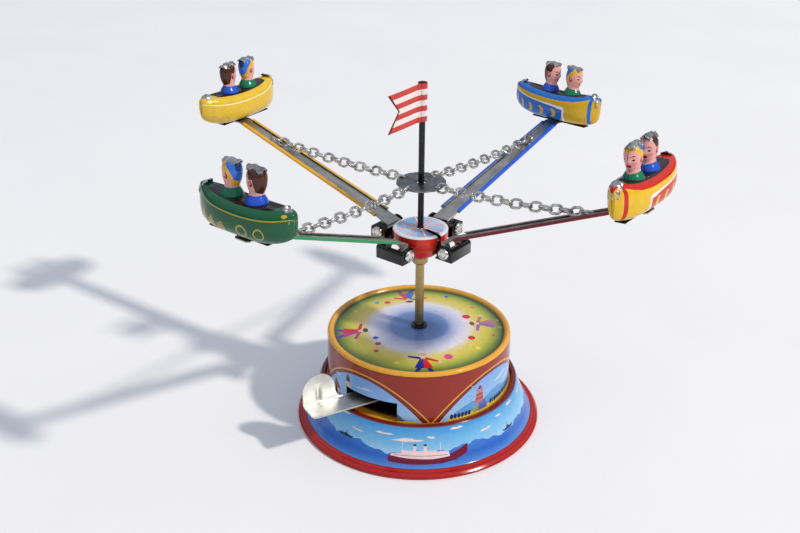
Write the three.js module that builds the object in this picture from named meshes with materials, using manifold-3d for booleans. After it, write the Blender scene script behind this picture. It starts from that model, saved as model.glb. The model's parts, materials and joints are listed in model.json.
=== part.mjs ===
// Lever-driven tin carousel: a litho-printed base with a push lever, a spindle, and a four-armed rotor
// whose sloping arms carry gondolas and hang by chains from a disc on the flag pole.
// Millimetres, +Z up. The origin is on the spindle axis, in the plane that the base stands on.
import * as THREE from "three";
import { mergeVertices } from "three/addons/utils/BufferGeometryUtils.js";
import Module from "manifold-3d";

const wasm = await Module();
wasm.setup();

// ---- driving dimensions -------------------------------------------------------------------------
const GAP = 0.3; // clearance between neighbouring pieces
const SHEET = 0.6; // tinplate thickness
const ROUND = 40; // facets of the large round pressings

const FLANGE_R = 61; // rolled edge of the base
const SHOULDER_R = 49.4; // top of the flared skirt
const DRUM_R = 45.2;
const SHELF_Z = 21.2; // inner shelf of the skirt, on which the drum stands
const SHELF_R = 39; // inner edge of that shelf
const TOP_Z = 48.7; // crest of the rolled top rim
const DISC_Z = 46.8; // edge of the recessed top disc
const DISC_R = 41.6;
const DISC_CROWN = 2; // rise of the disc from its edge to its middle
const WINDOW_TOP_Z = 31.6;
const WINDOW_FROM = -140.4; // azimuths of the lever window's ends, degrees
const WINDOW_TO = -103.4;

const LEVER_AZIMUTH = -151.4; // direction of the lever at rest
const LEVER_OFFSET = 15.1; // distance from the spindle axis to the lever's centre line
const LEVER_REACH = 67.4; // end of the lever, measured along it from the spindle
const LEVER_HALF = 5.6;
const LEVER_Z = 26.6; // underside of the lever
const LEVER_T = 0.8;
const LEVER_SWEEP = 13.5; // degrees of travel
const TAB_LENGTH = 16.5;
const TAB_TOP_Z = 42.4;

const GEAR_MODULE = 0.7;
const PINION_TEETH = 10;
const SECTOR_TEETH = 59; // of the full circle, of which the sector has a few
const PINION_Z = 28.1;

const SPINDLE_R = 2.15;
const SPINDLE_FOOT_R = 1.85; // stepped down inside the mechanism
const SPINDLE_TOP_Z = 95.2;
const HUB_Z = 102.4; // top of the hub cap
const HUB_R = 13.2;
const POLE_R = 1.45;
const POLE_TOP_Z = 174;
const FLAG_LENGTH = 20.6;
const FLAG_HEIGHT = 18;
const FLAG_DROOP = 2.2;
const FLAG_AZIMUTH = -138;
const CHAIN_DISC_Z = 124.8; // underside of the chain disc
const CHAIN_DISC_R = 11.8;
const CHAIN_HOLE_R = 9.6; // distance of its chain holes from the axis

const ARM_NAMES = ["red", "blue", "yellow", "green"];
const ARM_COLOURS = [0x8e2c35, 0x2f63c4, 0xe2b02a, 0x2f8f58];
const HULL_COLOURS = [0xd13a22, 0x2f72cf, 0xe6b92e, 0x1d6a3c];
const FIRST_AZIMUTH = -37.6; // of the red arm; the others follow every 90 degrees
const SLOPE = 18.8; // upward slope of an arm at which its gondola is level, degrees
const REST_SLOPES = [24.3, 12, 16.6, 22.2]; // slopes at which the four arms hang
const PIN_RADIUS = 19.5; // distance of the hinge pins from the spindle axis
const PIN_Z = 97;
const CHEEK = 7.8; // outer face of the clevis cheeks
const ARM_PLANE = 4.9; // floor of the arm's channel above the pin, square to the arm
const ARM_START = 5.8; // where the channel begins, along the arm from the pin
const ARM_END = 97.2;
const ARM_HALF_IN = 6;
const ARM_HALF_OUT = 4.8;
const ARM_WALL = 1.9;
const ARM_LIP = 1.1;
const HOOK = [79.5, 5.4]; // where a chain meets its arm, along it and square to it from the pin
const GONDOLA_RADIUS = 116.3;
const HULL_Z = 135; // bottom of the hull on an arm at the level slope
const HULL_HALF = 25.4; // half of its length
const BEAM_HALF = 8.5;
const DECK = 14.8; // height of the deck amidships
const SHEER_RISE = 2.4; // more height at bow and stern
const RIDERS = [8, -5.2]; // places of the riders along the hull
const RIDER_TOP = 30.2;

const radians = THREE.MathUtils.degToRad;

// ---- solids -------------------------------------------------------------------------------------
function weld(geometry) {
  const bare = new THREE.BufferGeometry();
  bare.setAttribute("position", geometry.getAttribute("position"));
  bare.setIndex(geometry.getIndex());
  const merged = mergeVertices(bare, 1e-4);
  const from = merged.getIndex().array;
  const index = [];
  for (let i = 0; i < from.length; i += 3) {
    const [a, b, c] = [from[i], from[i + 1], from[i + 2]];
    if (a !== b && b !== c && c !== a) index.push(a, b, c);
  }
  merged.setIndex(volumeOf(merged, index) < 0 ? index.reverse() : index);
  return merged;
}

function volumeOf(geometry, index) {
  const place = geometry.getAttribute("position");
  const [a, b, c] = [0, 1, 2].map(() => new THREE.Vector3());
  let six = 0;
  for (let i = 0; i < index.length; i += 3) {
    a.fromBufferAttribute(place, index[i]);
    b.fromBufferAttribute(place, index[i + 1]);
    c.fromBufferAttribute(place, index[i + 2]);
    six += a.dot(b.cross(c));
  }
  return six;
}

function toManifold(geometry) {
  const welded = weld(geometry);
  const vertProperties = Float32Array.from(welded.getAttribute("position").array);
  const triVerts = Uint32Array.from(welded.getIndex().array);
  return new wasm.Manifold(new wasm.Mesh({ numProp: 3, vertProperties, triVerts }));
}

function fromManifold(body) {
  const { vertProperties, triVerts } = body.getMesh();
  const geometry = new THREE.BufferGeometry();
  geometry.setAttribute("position", new THREE.BufferAttribute(vertProperties, 3));
  geometry.setIndex(new THREE.BufferAttribute(triVerts, 1));
  return geometry;
}

function join(...pieces) {
  return fromManifold(pieces.map(toManifold).reduce((sum, piece) => sum.add(piece)));
}

function cut(piece, ...tools) {
  return fromManifold(tools.map(toManifold).reduce((rest, tool) => rest.subtract(tool), toManifold(piece)));
}

// A solid turned about Z from a profile of [radius, height] pairs that closes on itself or on the axis.
function turned(profile, facets = 24) {
  const points = profile.map(([radius, height]) => new THREE.Vector2(radius, height));
  if (profile[0][0] > 0) points.push(points[0].clone());
  return weld(new THREE.LatheGeometry(points, facets).rotateX(Math.PI / 2));
}

function tube(outer, inner, low, high, facets = 24) {
  return turned([[inner, low], [outer, low], [outer, high], [inner, high]], facets);
}

function rod(radius, low, high, facets = 16) {
  return turned([[0, low], [radius, low], [radius, high], [0, high]], facets);
}

function box(x0, x1, y0, y1, z0, z1) {
  const block = new THREE.BoxGeometry(x1 - x0, y1 - y0, z1 - z0);
  return block.translate((x0 + x1) / 2, (y0 + y1) / 2, (z0 + z1) / 2);
}

// A flat plate between two heights, from an outline in the XY plane.
function plate(shape, low, high, curveSegments = 6) {
  const options = { depth: high - low, bevelEnabled: false, curveSegments };
  return weld(new THREE.ExtrudeGeometry(shape, options).translate(0, 0, low));
}

function outline(points) {
  return new THREE.Shape(points.map(([x, y]) => new THREE.Vector2(x, y)));
}

function hole(shape, x, y, radius) {
  shape.holes.push(new THREE.Path().absarc(x, y, radius, 0, 2 * Math.PI, true));
  return shape;
}

// A plate drawn in the XZ plane and given a thickness along Y.
function upright(shape, y0, y1, curveSegments = 6) {
  const options = { depth: y1 - y0, bevelEnabled: false, curveSegments };
  return weld(new THREE.ExtrudeGeometry(shape, options).rotateX(Math.PI / 2).translate(0, y1, 0));
}

// A solid through a row of closed rings, each with the same number of points.
function loft(rings) {
  const count = rings[0].length;
  const place = rings.flat(2);
  const index = [];
  for (let ring = 0; ring < rings.length - 1; ring++) {
    for (let i = 0; i < count; i++) {
      const [a, b] = [ring * count + i, ring * count + ((i + 1) % count)];
      index.push(a, b, b + count, a, b + count, a + count);
    }
  }
  const last = (rings.length - 1) * count;
  for (let i = 1; i < count - 1; i++) index.push(0, i + 1, i, last, last + i, last + i + 1);
  const geometry = new THREE.BufferGeometry();
  geometry.setAttribute("position", new THREE.Float32BufferAttribute(place, 3));
  geometry.setIndex(index);
  return weld(geometry);
}

function gearOutline(radius, teeth, first, last, bore) {
  const pitch = 360 / teeth;
  const [root, tip] = [radius - 1.1 * GEAR_MODULE, radius + 0.8 * GEAR_MODULE];
  const corners = [[root, -0.27], [tip, -0.11], [tip, 0.11], [root, 0.27]];
  const points = [];
  for (let tooth = first; tooth <= last; tooth++) {
    for (const [r, part] of corners) {
      const angle = radians((tooth + part) * pitch);
      points.push([r * Math.cos(angle), r * Math.sin(angle)]);
    }
  }
  if (last - first + 1 < teeth) points.push(...sectorHub(bore + 3.2, radians((first + last) * pitch / 2)));
  return hole(outline(points), 0, 0, bore);
}

// The back of a gear sector: a round hub about its pivot, on the side away from the teeth.
function sectorHub(radius, facing) {
  const points = [];
  for (let i = 0; i <= 8; i++) {
    const angle = facing + Math.PI * (0.5 + i / 8);
    points.push([radius * Math.cos(angle), radius * Math.sin(angle)]);
  }
  return points;
}

function material(color, metalness, roughness) {
  return new THREE.MeshStandardMaterial({ color, metalness, roughness });
}

const carousel = new THREE.Group();

function add(group, name, geometry, finish) {
  const mesh = new THREE.Mesh(geometry, finish);
  mesh.name = name;
  mesh.geometry.computeVertexNormals();
  group.add(mesh);
}

const FINISH = {
  skirt: () => material(0x3f95d6, 0.3, 0.25),
  drum: () => material(0x8a3227, 0.3, 0.25),
  top: () => material(0xb8c452, 0.3, 0.25),
  black: () => material(0x111113, 0.3, 0.3),
  steel: () => material(0xa5a6a4, 1, 0.35),
  brass: () => material(0xa98b4d, 1, 0.35),
  nickel: () => material(0xc9c8c2, 1, 0.2),
  hub: () => material(0xc63324, 0.3, 0.3),
};

// ---- base ---------------------------------------------------------------------------------------
function baseSkirt() {
  return turned([
    [SHELF_R, SHELF_Z], [DRUM_R + 0.6, SHELF_Z], [47, 22.2], [48.6, 22.1], [SHOULDER_R, 21.1],
    [52.2, 12.8], [56.9, 3.6], [59.6, 2.4], [FLANGE_R, 1.2], [60.4, 0], [58.4, 0], [58.2, 1.6],
    [56.4, 3], [51.6, 12.6], [48.6, 21], [46.8, 20.6], [SHELF_R, SHELF_Z - SHEET],
  ], ROUND);
}

function baseDrum() {
  const wall = tube(DRUM_R, DRUM_R - SHEET, SHELF_Z + GAP, DISC_Z - GAP, ROUND);
  const [from, to] = [radians(WINDOW_FROM), radians(WINDOW_TO)];
  const reach = 2 * DRUM_R;
  const corner = (angle) => [reach * Math.cos(angle), reach * Math.sin(angle)];
  return cut(wall, plate(outline([[0, 0], corner(from), corner(to)]), SHELF_Z - 1, WINDOW_TOP_Z));
}

function crowned(radius) {
  return DISC_Z + DISC_CROWN * (1 - (radius / DISC_R) ** 2);
}

function topPlate() {
  const face = [3.4, 14, 23, 32, DISC_R].map((radius) => [radius, crowned(radius)]);
  const underside = face.map(([radius, z]) => [radius, z - SHEET]).reverse();
  return turned([
    ...face, [42.3, 48], [43.6, TOP_Z], [44.8, 48], [DRUM_R, DISC_Z],
    [DRUM_R - SHEET, DISC_Z], [43.5, 48], [42.6, 47.1], ...underside,
  ], ROUND);
}

function baseCover() {
  return turned([[0, 0], [9, 0], [11, 0.9], [57.8, 0.9], [57.8, 1.5], [10.7, 1.5], [8.7, 0.6], [0, 0.6]], ROUND);
}

function mechanismPlate(pivot) {
  const bar = outline([[-43.2, -8], [43.2, -8], [43.2, 8], [-43.2, 8]]);
  hole(hole(bar, 0, 0, 4.3), pivot.length(), 0, 1.8);
  return plate(bar, SHELF_Z + GAP, SHELF_Z + GAP + 0.8).rotateZ(Math.atan2(pivot.y, pivot.x));
}

function lowerBearing() {
  return turned([
    [0, 17.2], [4, 17.2], [4, 22.6], [5.6, 22.6], [5.6, 23.4], [3.1, 23.4], [3.1, 27.8], [SPINDLE_FOOT_R + GAP, 27.8],
    [SPINDLE_FOOT_R + GAP, 18.1], [0, 18.1],
  ], 20);
}

function topBush() {
  const bore = SPINDLE_R + GAP;
  const seat = crowned(0) + GAP;
  return turned([[bore, 45.6], [3.1, 45.6], [3.1, seat], [3.9, seat], [3.9, seat + 0.7], [bore, seat + 0.7]], 20);
}

// ---- lever and its gears ------------------------------------------------------------------------
function leverPivot() {
  return turned([
    [0, 20], [3, 20], [3, 21.2], [1.5, 21.2], [1.5, 22.6], [3.2, 22.6], [3.2, LEVER_Z - GAP], [1.5, LEVER_Z - GAP],
    [1.5, 30.4], [2.8, 30.4], [2.2, 31.2], [0, 31.4],
  ], 16);
}

// Drawn with its pivot at the origin and pointing along +X.
function lever(length) {
  const strip = new THREE.Shape().moveTo(0, -LEVER_HALF).lineTo(length, -LEVER_HALF);
  strip.lineTo(length, LEVER_HALF - 2).lineTo(length - 2, LEVER_HALF).lineTo(0, LEVER_HALF);
  strip.absarc(0, 0, LEVER_HALF, Math.PI / 2, 1.5 * Math.PI, false);
  hole(strip, 0, 0, 1.8);
  const radius = TAB_LENGTH / 2;
  const tab = new THREE.Shape().moveTo(length - TAB_LENGTH, LEVER_Z).lineTo(length, LEVER_Z);
  tab.lineTo(length, TAB_TOP_Z - radius);
  tab.absarc(length - radius, TAB_TOP_Z - radius, radius, 0, Math.PI, false);
  const sides = [-LEVER_HALF, -LEVER_HALF + LEVER_T];
  return join(plate(strip, LEVER_Z, LEVER_Z + LEVER_T), upright(tab, ...sides));
}

function pinion() {
  const bore = SPINDLE_FOOT_R + GAP;
  const gear = gearOutline(PINION_TEETH * GEAR_MODULE / 2, PINION_TEETH, 0, PINION_TEETH - 1, bore);
  return join(plate(gear, PINION_Z, 30.4), tube(9.2, bore, 30.4, 31.2, 20));
}

function ratchetWheel() {
  const points = [];
  for (let tooth = 0; tooth < 12; tooth++) {
    for (const [radius, part] of [[4.9, 0], [6, 0.05]]) {
      const angle = 2 * Math.PI * (tooth + part) / 12;
      points.push([radius * Math.cos(angle), radius * Math.sin(angle)]);
    }
  }
  return plate(hole(outline(points), 0, 0, SPINDLE_FOOT_R + GAP), 31.5, 33);
}

function pawl() {
  return plate(outline([[6.3, 0], [8.8, -2.4], [8.8, 2.2], [7.4, 2.8]]), 31.5, 33);
}

// A torsion spring round the lever's pivot, as a helix that ends in two short legs.
function returnSpring() {
  const turns = 3;
  const steps = 12 * turns;
  const radius = 4.3;
  const points = [];
  for (let i = 0; i <= steps; i++) {
    const angle = 2 * Math.PI * turns * i / steps;
    points.push(new THREE.Vector3(radius * Math.cos(angle), radius * Math.sin(angle), 23.1 + 2.6 * i / steps));
  }
  const wire = new THREE.Shape().absarc(0, 0, 0.35, 0, 2 * Math.PI, false);
  const path = new THREE.CatmullRomCurve3(points);
  return weld(new THREE.ExtrudeGeometry(wire, { extrudePath: path, steps, curveSegments: 2 }));
}

function addDrive() {
  const spacing = GEAR_MODULE * (PINION_TEETH + SECTOR_TEETH) / 2;
  const back = Math.sqrt(spacing ** 2 - LEVER_OFFSET ** 2);
  const heading = radians(LEVER_AZIMUTH);
  const pivot = new THREE.Vector2(-back, LEVER_OFFSET).rotateAround(new THREE.Vector2(), heading);
  const toSpindle = Math.atan2(-pivot.y, -pivot.x);

  add(carousel, "mechanism_plate", mechanismPlate(pivot), FINISH.steel());
  add(carousel, "lower_bearing", lowerBearing(), FINISH.brass());

  const post = new THREE.Group();
  post.position.set(pivot.x, pivot.y, 0);
  add(post, "lever_pivot", leverPivot(), FINISH.steel());
  add(post, "return_spring", returnSpring(), FINISH.nickel());
  const pointing = new THREE.Group();
  pointing.rotation.z = heading;
  add(pointing, "lever", lever(back + LEVER_REACH), FINISH.steel());
  post.add(pointing);
  const meshing = new THREE.Group();
  meshing.rotation.z = toSpindle;
  const sweepTeeth = Math.ceil(LEVER_SWEEP * SECTOR_TEETH / 360) + 1;
  const sector = gearOutline(SECTOR_TEETH * GEAR_MODULE / 2, SECTOR_TEETH, -sweepTeeth, 1, 1.8);
  add(meshing, "sector_gear", plate(sector, LEVER_Z + LEVER_T + GAP, 29.9), FINISH.brass());
  post.add(meshing);
  carousel.add(post);

  const centre = new THREE.Group();
  centre.rotation.z = toSpindle + Math.PI * (1 + 1 / PINION_TEETH);
  add(centre, "pinion", pinion(), FINISH.brass());
  add(centre, "pawl", pawl(), FINISH.steel());
  carousel.add(centre);
}

// ---- rotor --------------------------------------------------------------------------------------
function spindle() {
  return turned([
    [0, 18.4], [SPINDLE_FOOT_R, 18.4], [SPINDLE_FOOT_R, 35], [SPINDLE_R, 35], [SPINDLE_R, SPINDLE_TOP_Z], [0, SPINDLE_TOP_Z],
  ], 20);
}

function spindleCollar() {
  return turned([
    [SPINDLE_R + GAP, 83.6], [3.2, 83.6], [3.8, 84.2], [3.8, 87.1], [SPINDLE_R + GAP, 87.1],
  ], 20);
}

const BRACKET_Z = 93.2; // underside of the arm bracket
const BRACKET_T = 0.8;
const WEB_R = 23; // inner face of the clevis webs

function clevis() {
  const floor = box(14.6, WEB_R + BRACKET_T, -CHEEK, CHEEK, BRACKET_Z, BRACKET_Z + BRACKET_T);
  const strap = box(0, 15, -4, 4, BRACKET_Z, BRACKET_Z + BRACKET_T);
  const web = box(WEB_R, WEB_R + BRACKET_T, -CHEEK, CHEEK, BRACKET_Z, PIN_Z + 1.6);
  const roll = rod(1.3, -CHEEK, CHEEK, 8).rotateX(Math.PI / 2).translate(WEB_R - 0.4, 0, PIN_Z + 1.3);
  const cheek = new THREE.Shape().moveTo(15, BRACKET_Z).lineTo(WEB_R + BRACKET_T, BRACKET_Z);
  cheek.lineTo(PIN_RADIUS + 3.9, PIN_Z).absarc(PIN_RADIUS, PIN_Z, 3.9, 0, Math.PI, false);
  hole(cheek, PIN_RADIUS, PIN_Z, 1 + GAP);
  const cheeks = [[-CHEEK, -CHEEK + BRACKET_T], [CHEEK - BRACKET_T, CHEEK]].map((side) => upright(cheek, ...side, 5));
  return join(floor, strap, web, roll, ...cheeks);
}

function armBracket() {
  const arms = [0, 1, 2, 3].map((quarter) => clevis().rotateZ(radians(FIRST_AZIMUTH + 90 * quarter)));
  return cut(join(...arms), rod(SPINDLE_R + GAP, BRACKET_Z - 1, BRACKET_Z + 2));
}

const SEAM_AZIMUTH = -49; // of the narrow slot down one side of the hub

function hubSlot(inner, low) {
  return box(inner, HUB_R + 2, -1, 1, low, HUB_Z + 1).rotateZ(radians(SEAM_AZIMUTH));
}

function hubCup() {
  const bowl = turned([
    [SPINDLE_R + GAP, 87.4], [4.8, 87.4], [9, 90.2], [12, 94.8], [HUB_R, 98.8], [HUB_R, 101.5],
    [HUB_R - SHEET, 101.5], [HUB_R - SHEET, 98.8], [11.4, 95.1], [8.6, 90.7], [4.6, 88.1], [SPINDLE_R + GAP, 88.1],
  ], 24);
  const low = BRACKET_Z - GAP;
  const high = BRACKET_Z + BRACKET_T + GAP;
  const slots = [0, 1].map((turn) => box(-15, 15, -4.3, 4.3, low, high).rotateZ(radians(FIRST_AZIMUTH + 90 * turn)));
  return cut(bowl, ...slots, hubSlot(7, 94.2));
}

function hubCap() {
  const disc = turned([
    [POLE_R + GAP, 101.8], [12.9, 101.8], [HUB_R, 102.1], [12.8, HUB_Z], [POLE_R + GAP, HUB_Z],
  ], 24);
  return cut(disc, hubSlot(4, 100));
}

function flag() {
  const low = POLE_TOP_Z - 0.4 - FLAG_HEIGHT;
  const high = low + FLAG_HEIGHT;
  const cloth = outline([
    [1.9, low], [FLAG_LENGTH, low - FLAG_DROOP], [FLAG_LENGTH - 6, low + FLAG_HEIGHT / 2 - FLAG_DROOP / 2],
    [FLAG_LENGTH, high - FLAG_DROOP], [1.9, high],
  ]);
  const sleeve = tube(POLE_R + GAP + 0.5, POLE_R + GAP, low, high, 12);
  return join(upright(cloth, -0.2, 0.2), sleeve).rotateZ(radians(FLAG_AZIMUTH));
}

function chainDisc() {
  const disc = new THREE.Shape().absarc(0, 0, CHAIN_DISC_R, 0, 2 * Math.PI, false);
  const half = POLE_R + 0.7;
  disc.holes.push(outline([[half, half], [half, -half], [-half, -half], [-half, half]]));
  for (let quarter = 0; quarter < 4; quarter++) hole(disc, ...polar(CHAIN_HOLE_R, quarter * 90), 1.5);
  return plate(disc, CHAIN_DISC_Z, CHAIN_DISC_Z + 0.8, 8).rotateZ(radians(FIRST_AZIMUTH));
}

function polar(radius, degrees) {
  return [radius * Math.cos(radians(degrees)), radius * Math.sin(radians(degrees))];
}

function hingePin() {
  const stem = 8.1;
  const pin = turned([
    [0, -stem - 1.5], [2.2, -stem - 1], [3, -stem], [1, -stem], [1, stem], [3, stem], [2.2, stem + 1], [0, stem + 1.5],
  ], 14);
  return pin.rotateX(Math.PI / 2).translate(PIN_RADIUS, 0, PIN_Z);
}

// The outer envelope of a stretch of one chain, between two shares of the way from the disc to its hook.
function chain(slope, from, to) {
  const [along, square] = HOOK;
  const [c, s] = [Math.cos(slope), Math.sin(slope)];
  const start = new THREE.Vector3(CHAIN_HOLE_R, 0, CHAIN_DISC_Z + 0.5);
  const end = new THREE.Vector3(PIN_RADIUS + along * c - square * s, 0, PIN_Z + along * s + square * c);
  const way = end.clone().sub(start);
  const envelope = rod(1.9, way.length() * from, way.length() * to, 8);
  envelope.rotateY(Math.atan2(way.x, way.z));
  return envelope.translate(start.x, 0, start.z);
}

function addRotor() {
  add(carousel, "spindle", spindle(), FINISH.brass());
  add(carousel, "ratchet_wheel", ratchetWheel(), FINISH.steel());
  add(carousel, "spindle_collar", spindleCollar(), FINISH.brass());
  add(carousel, "arm_bracket", armBracket(), FINISH.black());
  add(carousel, "hub_cup", hubCup(), FINISH.hub());
  add(carousel, "hub_cap", hubCap(), material(0x86b4e0, 0.3, 0.25));
  add(carousel, "flag_pole", rod(POLE_R, SPINDLE_TOP_Z + GAP, POLE_TOP_Z, 16), FINISH.black());
  add(carousel, "flag", flag(), material(0xd9c9c4, 0.2, 0.35));
  add(carousel, "chain_disc", chainDisc(), FINISH.steel());
}

// ---- arms and gondolas, drawn for an arm that points along +X ------------------------------------
function channelSection(along, half) {
  const low = ARM_PLANE - SHEET;
  const top = low + ARM_WALL;
  const side = [
    [half, low], [half, top], [half - ARM_LIP, top], [half - ARM_LIP, top - SHEET],
    [half - SHEET, top - SHEET], [half - SHEET, ARM_PLANE],
  ];
  const mirrored = side.map(([y, z]) => [-y, z]).reverse();
  return [...side, ...mirrored].map(([y, z]) => [along, y, z]);
}

function armChannel() {
  const [inner, outer] = [channelSection(ARM_START, ARM_HALF_IN), channelSection(ARM_END, ARM_HALF_OUT)];
  const ends = outline(inner.map(([, y, z]) => [y, z]));
  const rails = new THREE.ExtrudeGeometry(ends, { depth: 1, bevelEnabled: false, steps: 1 });
  const place = rails.getAttribute("position");
  for (let i = 0; i < place.count; i++) {
    const [y, z, part] = [place.getX(i), place.getY(i), place.getZ(i)];
    const half = THREE.MathUtils.lerp(ARM_HALF_IN, ARM_HALF_OUT, part);
    const moved = Math.sign(y) * (half - (ARM_HALF_IN - Math.abs(y)));
    place.setXYZ(i, THREE.MathUtils.lerp(inner[0][0], outer[0][0], part), moved, z);
  }
  return weld(rails);
}

function arm() {
  const half = 4.6;
  const floor = ARM_PLANE - SHEET;
  const tongue = box(-2.6, ARM_START + 0.5, -half, half, floor, ARM_PLANE);
  const ear = new THREE.Shape().moveTo(-2.6, ARM_PLANE).lineTo(-1.9, 0);
  ear.absarc(0, 0, 1.9, Math.PI, 2 * Math.PI, false).lineTo(2, ARM_PLANE);
  hole(ear, 0, 0, 1 + GAP);
  const ears = [[-half, -half + SHEET], [half - SHEET, half]].map((side) => upright(ear, ...side, 4));
  const bend = box(ARM_END - 0.5, ARM_END + 2.4, -4, 4, floor, ARM_PLANE);
  const sloping = join(armChannel(), tongue, ...ears, bend);
  sloping.rotateY(-radians(SLOPE)).translate(PIN_RADIUS, 0, PIN_Z);
  const pad = box(GONDOLA_RADIUS - 5.9, GONDOLA_RADIUS + 4, -4, 4, HULL_Z - 1.8, HULL_Z - 1.2);
  return join(sloping, pad);
}

function keelPlate() {
  const half = 2.4;
  return box(GONDOLA_RADIUS - half, GONDOLA_RADIUS + half, -19, 13, HULL_Z - 0.9, HULL_Z - GAP);
}

// Half-width, bottom and top of the hull at a place along it, from -1 at the stern to 1 at the bow.
function hullSection(place) {
  const bow = place > 0;
  const fullness = Math.sqrt(Math.max(0, 1 - Math.abs(place) ** (bow ? 4 : 2.6)));
  const rise = 1 - Math.sqrt(Math.max(0, 1 - Math.abs(place) ** (bow ? 6 : 3.4)));
  const taper = Math.max(0, 1 - Math.abs(place) ** 3) ** 0.72;
  const [stemLow, stemHigh] = bow ? [5.5, 13.5] : [8.5, 12.5];
  return {
    half: 1 + (BEAM_HALF - 1) * taper,
    bottom: stemLow * rise,
    top: THREE.MathUtils.lerp(stemHigh, DECK + SHEER_RISE * place ** 2, fullness ** 0.4),
  };
}

function hull(inset, stations, around) {
  const rings = [];
  for (let i = 0; i <= stations; i++) {
    const place = Math.sin(Math.PI * (i / stations - 0.5));
    const { half, bottom, top } = hullSection(place);
    const [middle, height] = [(bottom + top) / 2, (top - bottom) / 2 - inset];
    const ring = [];
    for (let k = 0; k < around; k++) {
      const angle = 2 * Math.PI * (k + 0.5) / around;
      const [c, s] = [Math.cos(angle), Math.sin(angle)];
      const y = (half - inset) * Math.sign(c) * Math.abs(c) ** 0.7;
      const z = height * Math.sign(s) * Math.abs(s) ** (s > 0 ? 0.55 : 0.85);
      ring.push([place * (HULL_HALF - inset), y, middle + z]);
    }
    rings.push(ring);
  }
  return loft(rings);
}

function rider() {
  return turned([
    [0, 10], [5.6, 10], [5.3, 15.6], [3.6, 19.4], [4.4, 22], [4.5, 26], [3.8, 29], [3.4, RIDER_TOP], [0, RIDER_TOP],
  ], 8);
}

// One half of a gondola: half of the hull's shell with its halves of both riders.
function gondolaHalf(side) {
  const shell = cut(hull(0, 8, 10), hull(SHEET, 6, 8));
  const riders = RIDERS.map((x) => rider().translate(x, 0, 0));
  const far = side * 30;
  const near = side * GAP / 2;
  const keep = box(-40, 40, Math.min(near, far), Math.max(near, far), -5, 40);
  const whole = toManifold(join(shell, ...riders));
  return fromManifold(whole.intersect(toManifold(keep)));
}

function addArm(index) {
  const name = ARM_NAMES[index];
  const slope = radians(REST_SLOPES[index]);
  const group = new THREE.Group();
  group.rotation.z = radians(FIRST_AZIMUTH + 90 * index);
  add(group, `hinge_pin_${name}`, hingePin(), FINISH.nickel());
  add(group, `chain_${name}_inner`, chain(slope, 0.045, 0.23), FINISH.nickel());
  add(group, `chain_${name}_outer`, chain(slope, 0.48, 0.91), FINISH.nickel());
  const hinge = new THREE.Group();
  hinge.position.set(PIN_RADIUS, 0, PIN_Z);
  hinge.rotation.y = radians(SLOPE) - slope;
  const swung = new THREE.Group();
  swung.position.set(-PIN_RADIUS, 0, -PIN_Z);
  add(swung, `arm_${name}`, arm(), material(ARM_COLOURS[index], 0.4, 0.35));
  add(swung, `keel_plate_${name}`, keelPlate(), FINISH.black());
  const gondola = new THREE.Group();
  gondola.position.set(GONDOLA_RADIUS, 0, HULL_Z);
  gondola.rotation.z = -Math.PI / 2;
  add(gondola, `gondola_${name}_outer`, gondolaHalf(1), material(HULL_COLOURS[index], 0.3, 0.25));
  add(gondola, `gondola_${name}_inner`, gondolaHalf(-1), material(HULL_COLOURS[index], 0.3, 0.25));
  swung.add(gondola);
  hinge.add(swung);
  group.add(hinge);
  carousel.add(group);
}

add(carousel, "base_skirt", baseSkirt(), FINISH.skirt());
add(carousel, "base_drum", baseDrum(), FINISH.drum());
add(carousel, "top_plate", topPlate(), FINISH.top());
add(carousel, "base_cover", baseCover(), FINISH.steel());
add(carousel, "top_bush", topBush(), FINISH.black());
addDrive();
addRotor();
ARM_NAMES.forEach((_, index) => addArm(index));

export default carousel;
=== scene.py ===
"""Looks for the lever-driven tin carousel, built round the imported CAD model.

Lengths are in millimetres until a mesh is made. Printed tinplate is drawn flat: each sheet is a flat domain
cut along the outlines of its artwork, coloured face by face, and then bent to its shape in place().
"""
import json
import math

import bmesh
import bpy
import numpy as np
from mathutils import Matrix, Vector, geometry


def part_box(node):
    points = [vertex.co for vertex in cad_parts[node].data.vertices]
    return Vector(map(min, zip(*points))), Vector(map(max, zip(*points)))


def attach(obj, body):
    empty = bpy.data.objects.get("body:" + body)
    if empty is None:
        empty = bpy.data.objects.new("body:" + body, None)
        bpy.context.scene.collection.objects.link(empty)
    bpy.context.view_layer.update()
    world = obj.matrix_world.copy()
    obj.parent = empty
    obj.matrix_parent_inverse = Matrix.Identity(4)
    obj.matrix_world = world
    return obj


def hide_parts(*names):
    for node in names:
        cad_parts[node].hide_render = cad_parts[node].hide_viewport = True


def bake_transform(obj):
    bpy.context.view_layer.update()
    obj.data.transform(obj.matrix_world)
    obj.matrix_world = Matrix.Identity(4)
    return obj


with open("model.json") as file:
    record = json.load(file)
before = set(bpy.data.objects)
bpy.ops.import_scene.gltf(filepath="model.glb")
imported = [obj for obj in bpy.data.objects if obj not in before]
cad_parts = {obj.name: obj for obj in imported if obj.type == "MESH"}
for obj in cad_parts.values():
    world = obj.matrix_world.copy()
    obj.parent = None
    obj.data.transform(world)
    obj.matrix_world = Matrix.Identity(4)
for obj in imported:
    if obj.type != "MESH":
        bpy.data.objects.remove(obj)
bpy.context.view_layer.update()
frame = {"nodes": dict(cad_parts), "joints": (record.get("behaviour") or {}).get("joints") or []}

MM = 0.001
JOINTS = {joint["name"]: joint for joint in frame["joints"]}
ARM_NAMES = ("red", "blue", "yellow", "green")
random = np.random.default_rng(7)


def low(node):
    return np.array(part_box(node)[0]) / MM


def high(node):
    return np.array(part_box(node)[1]) / MM


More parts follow.
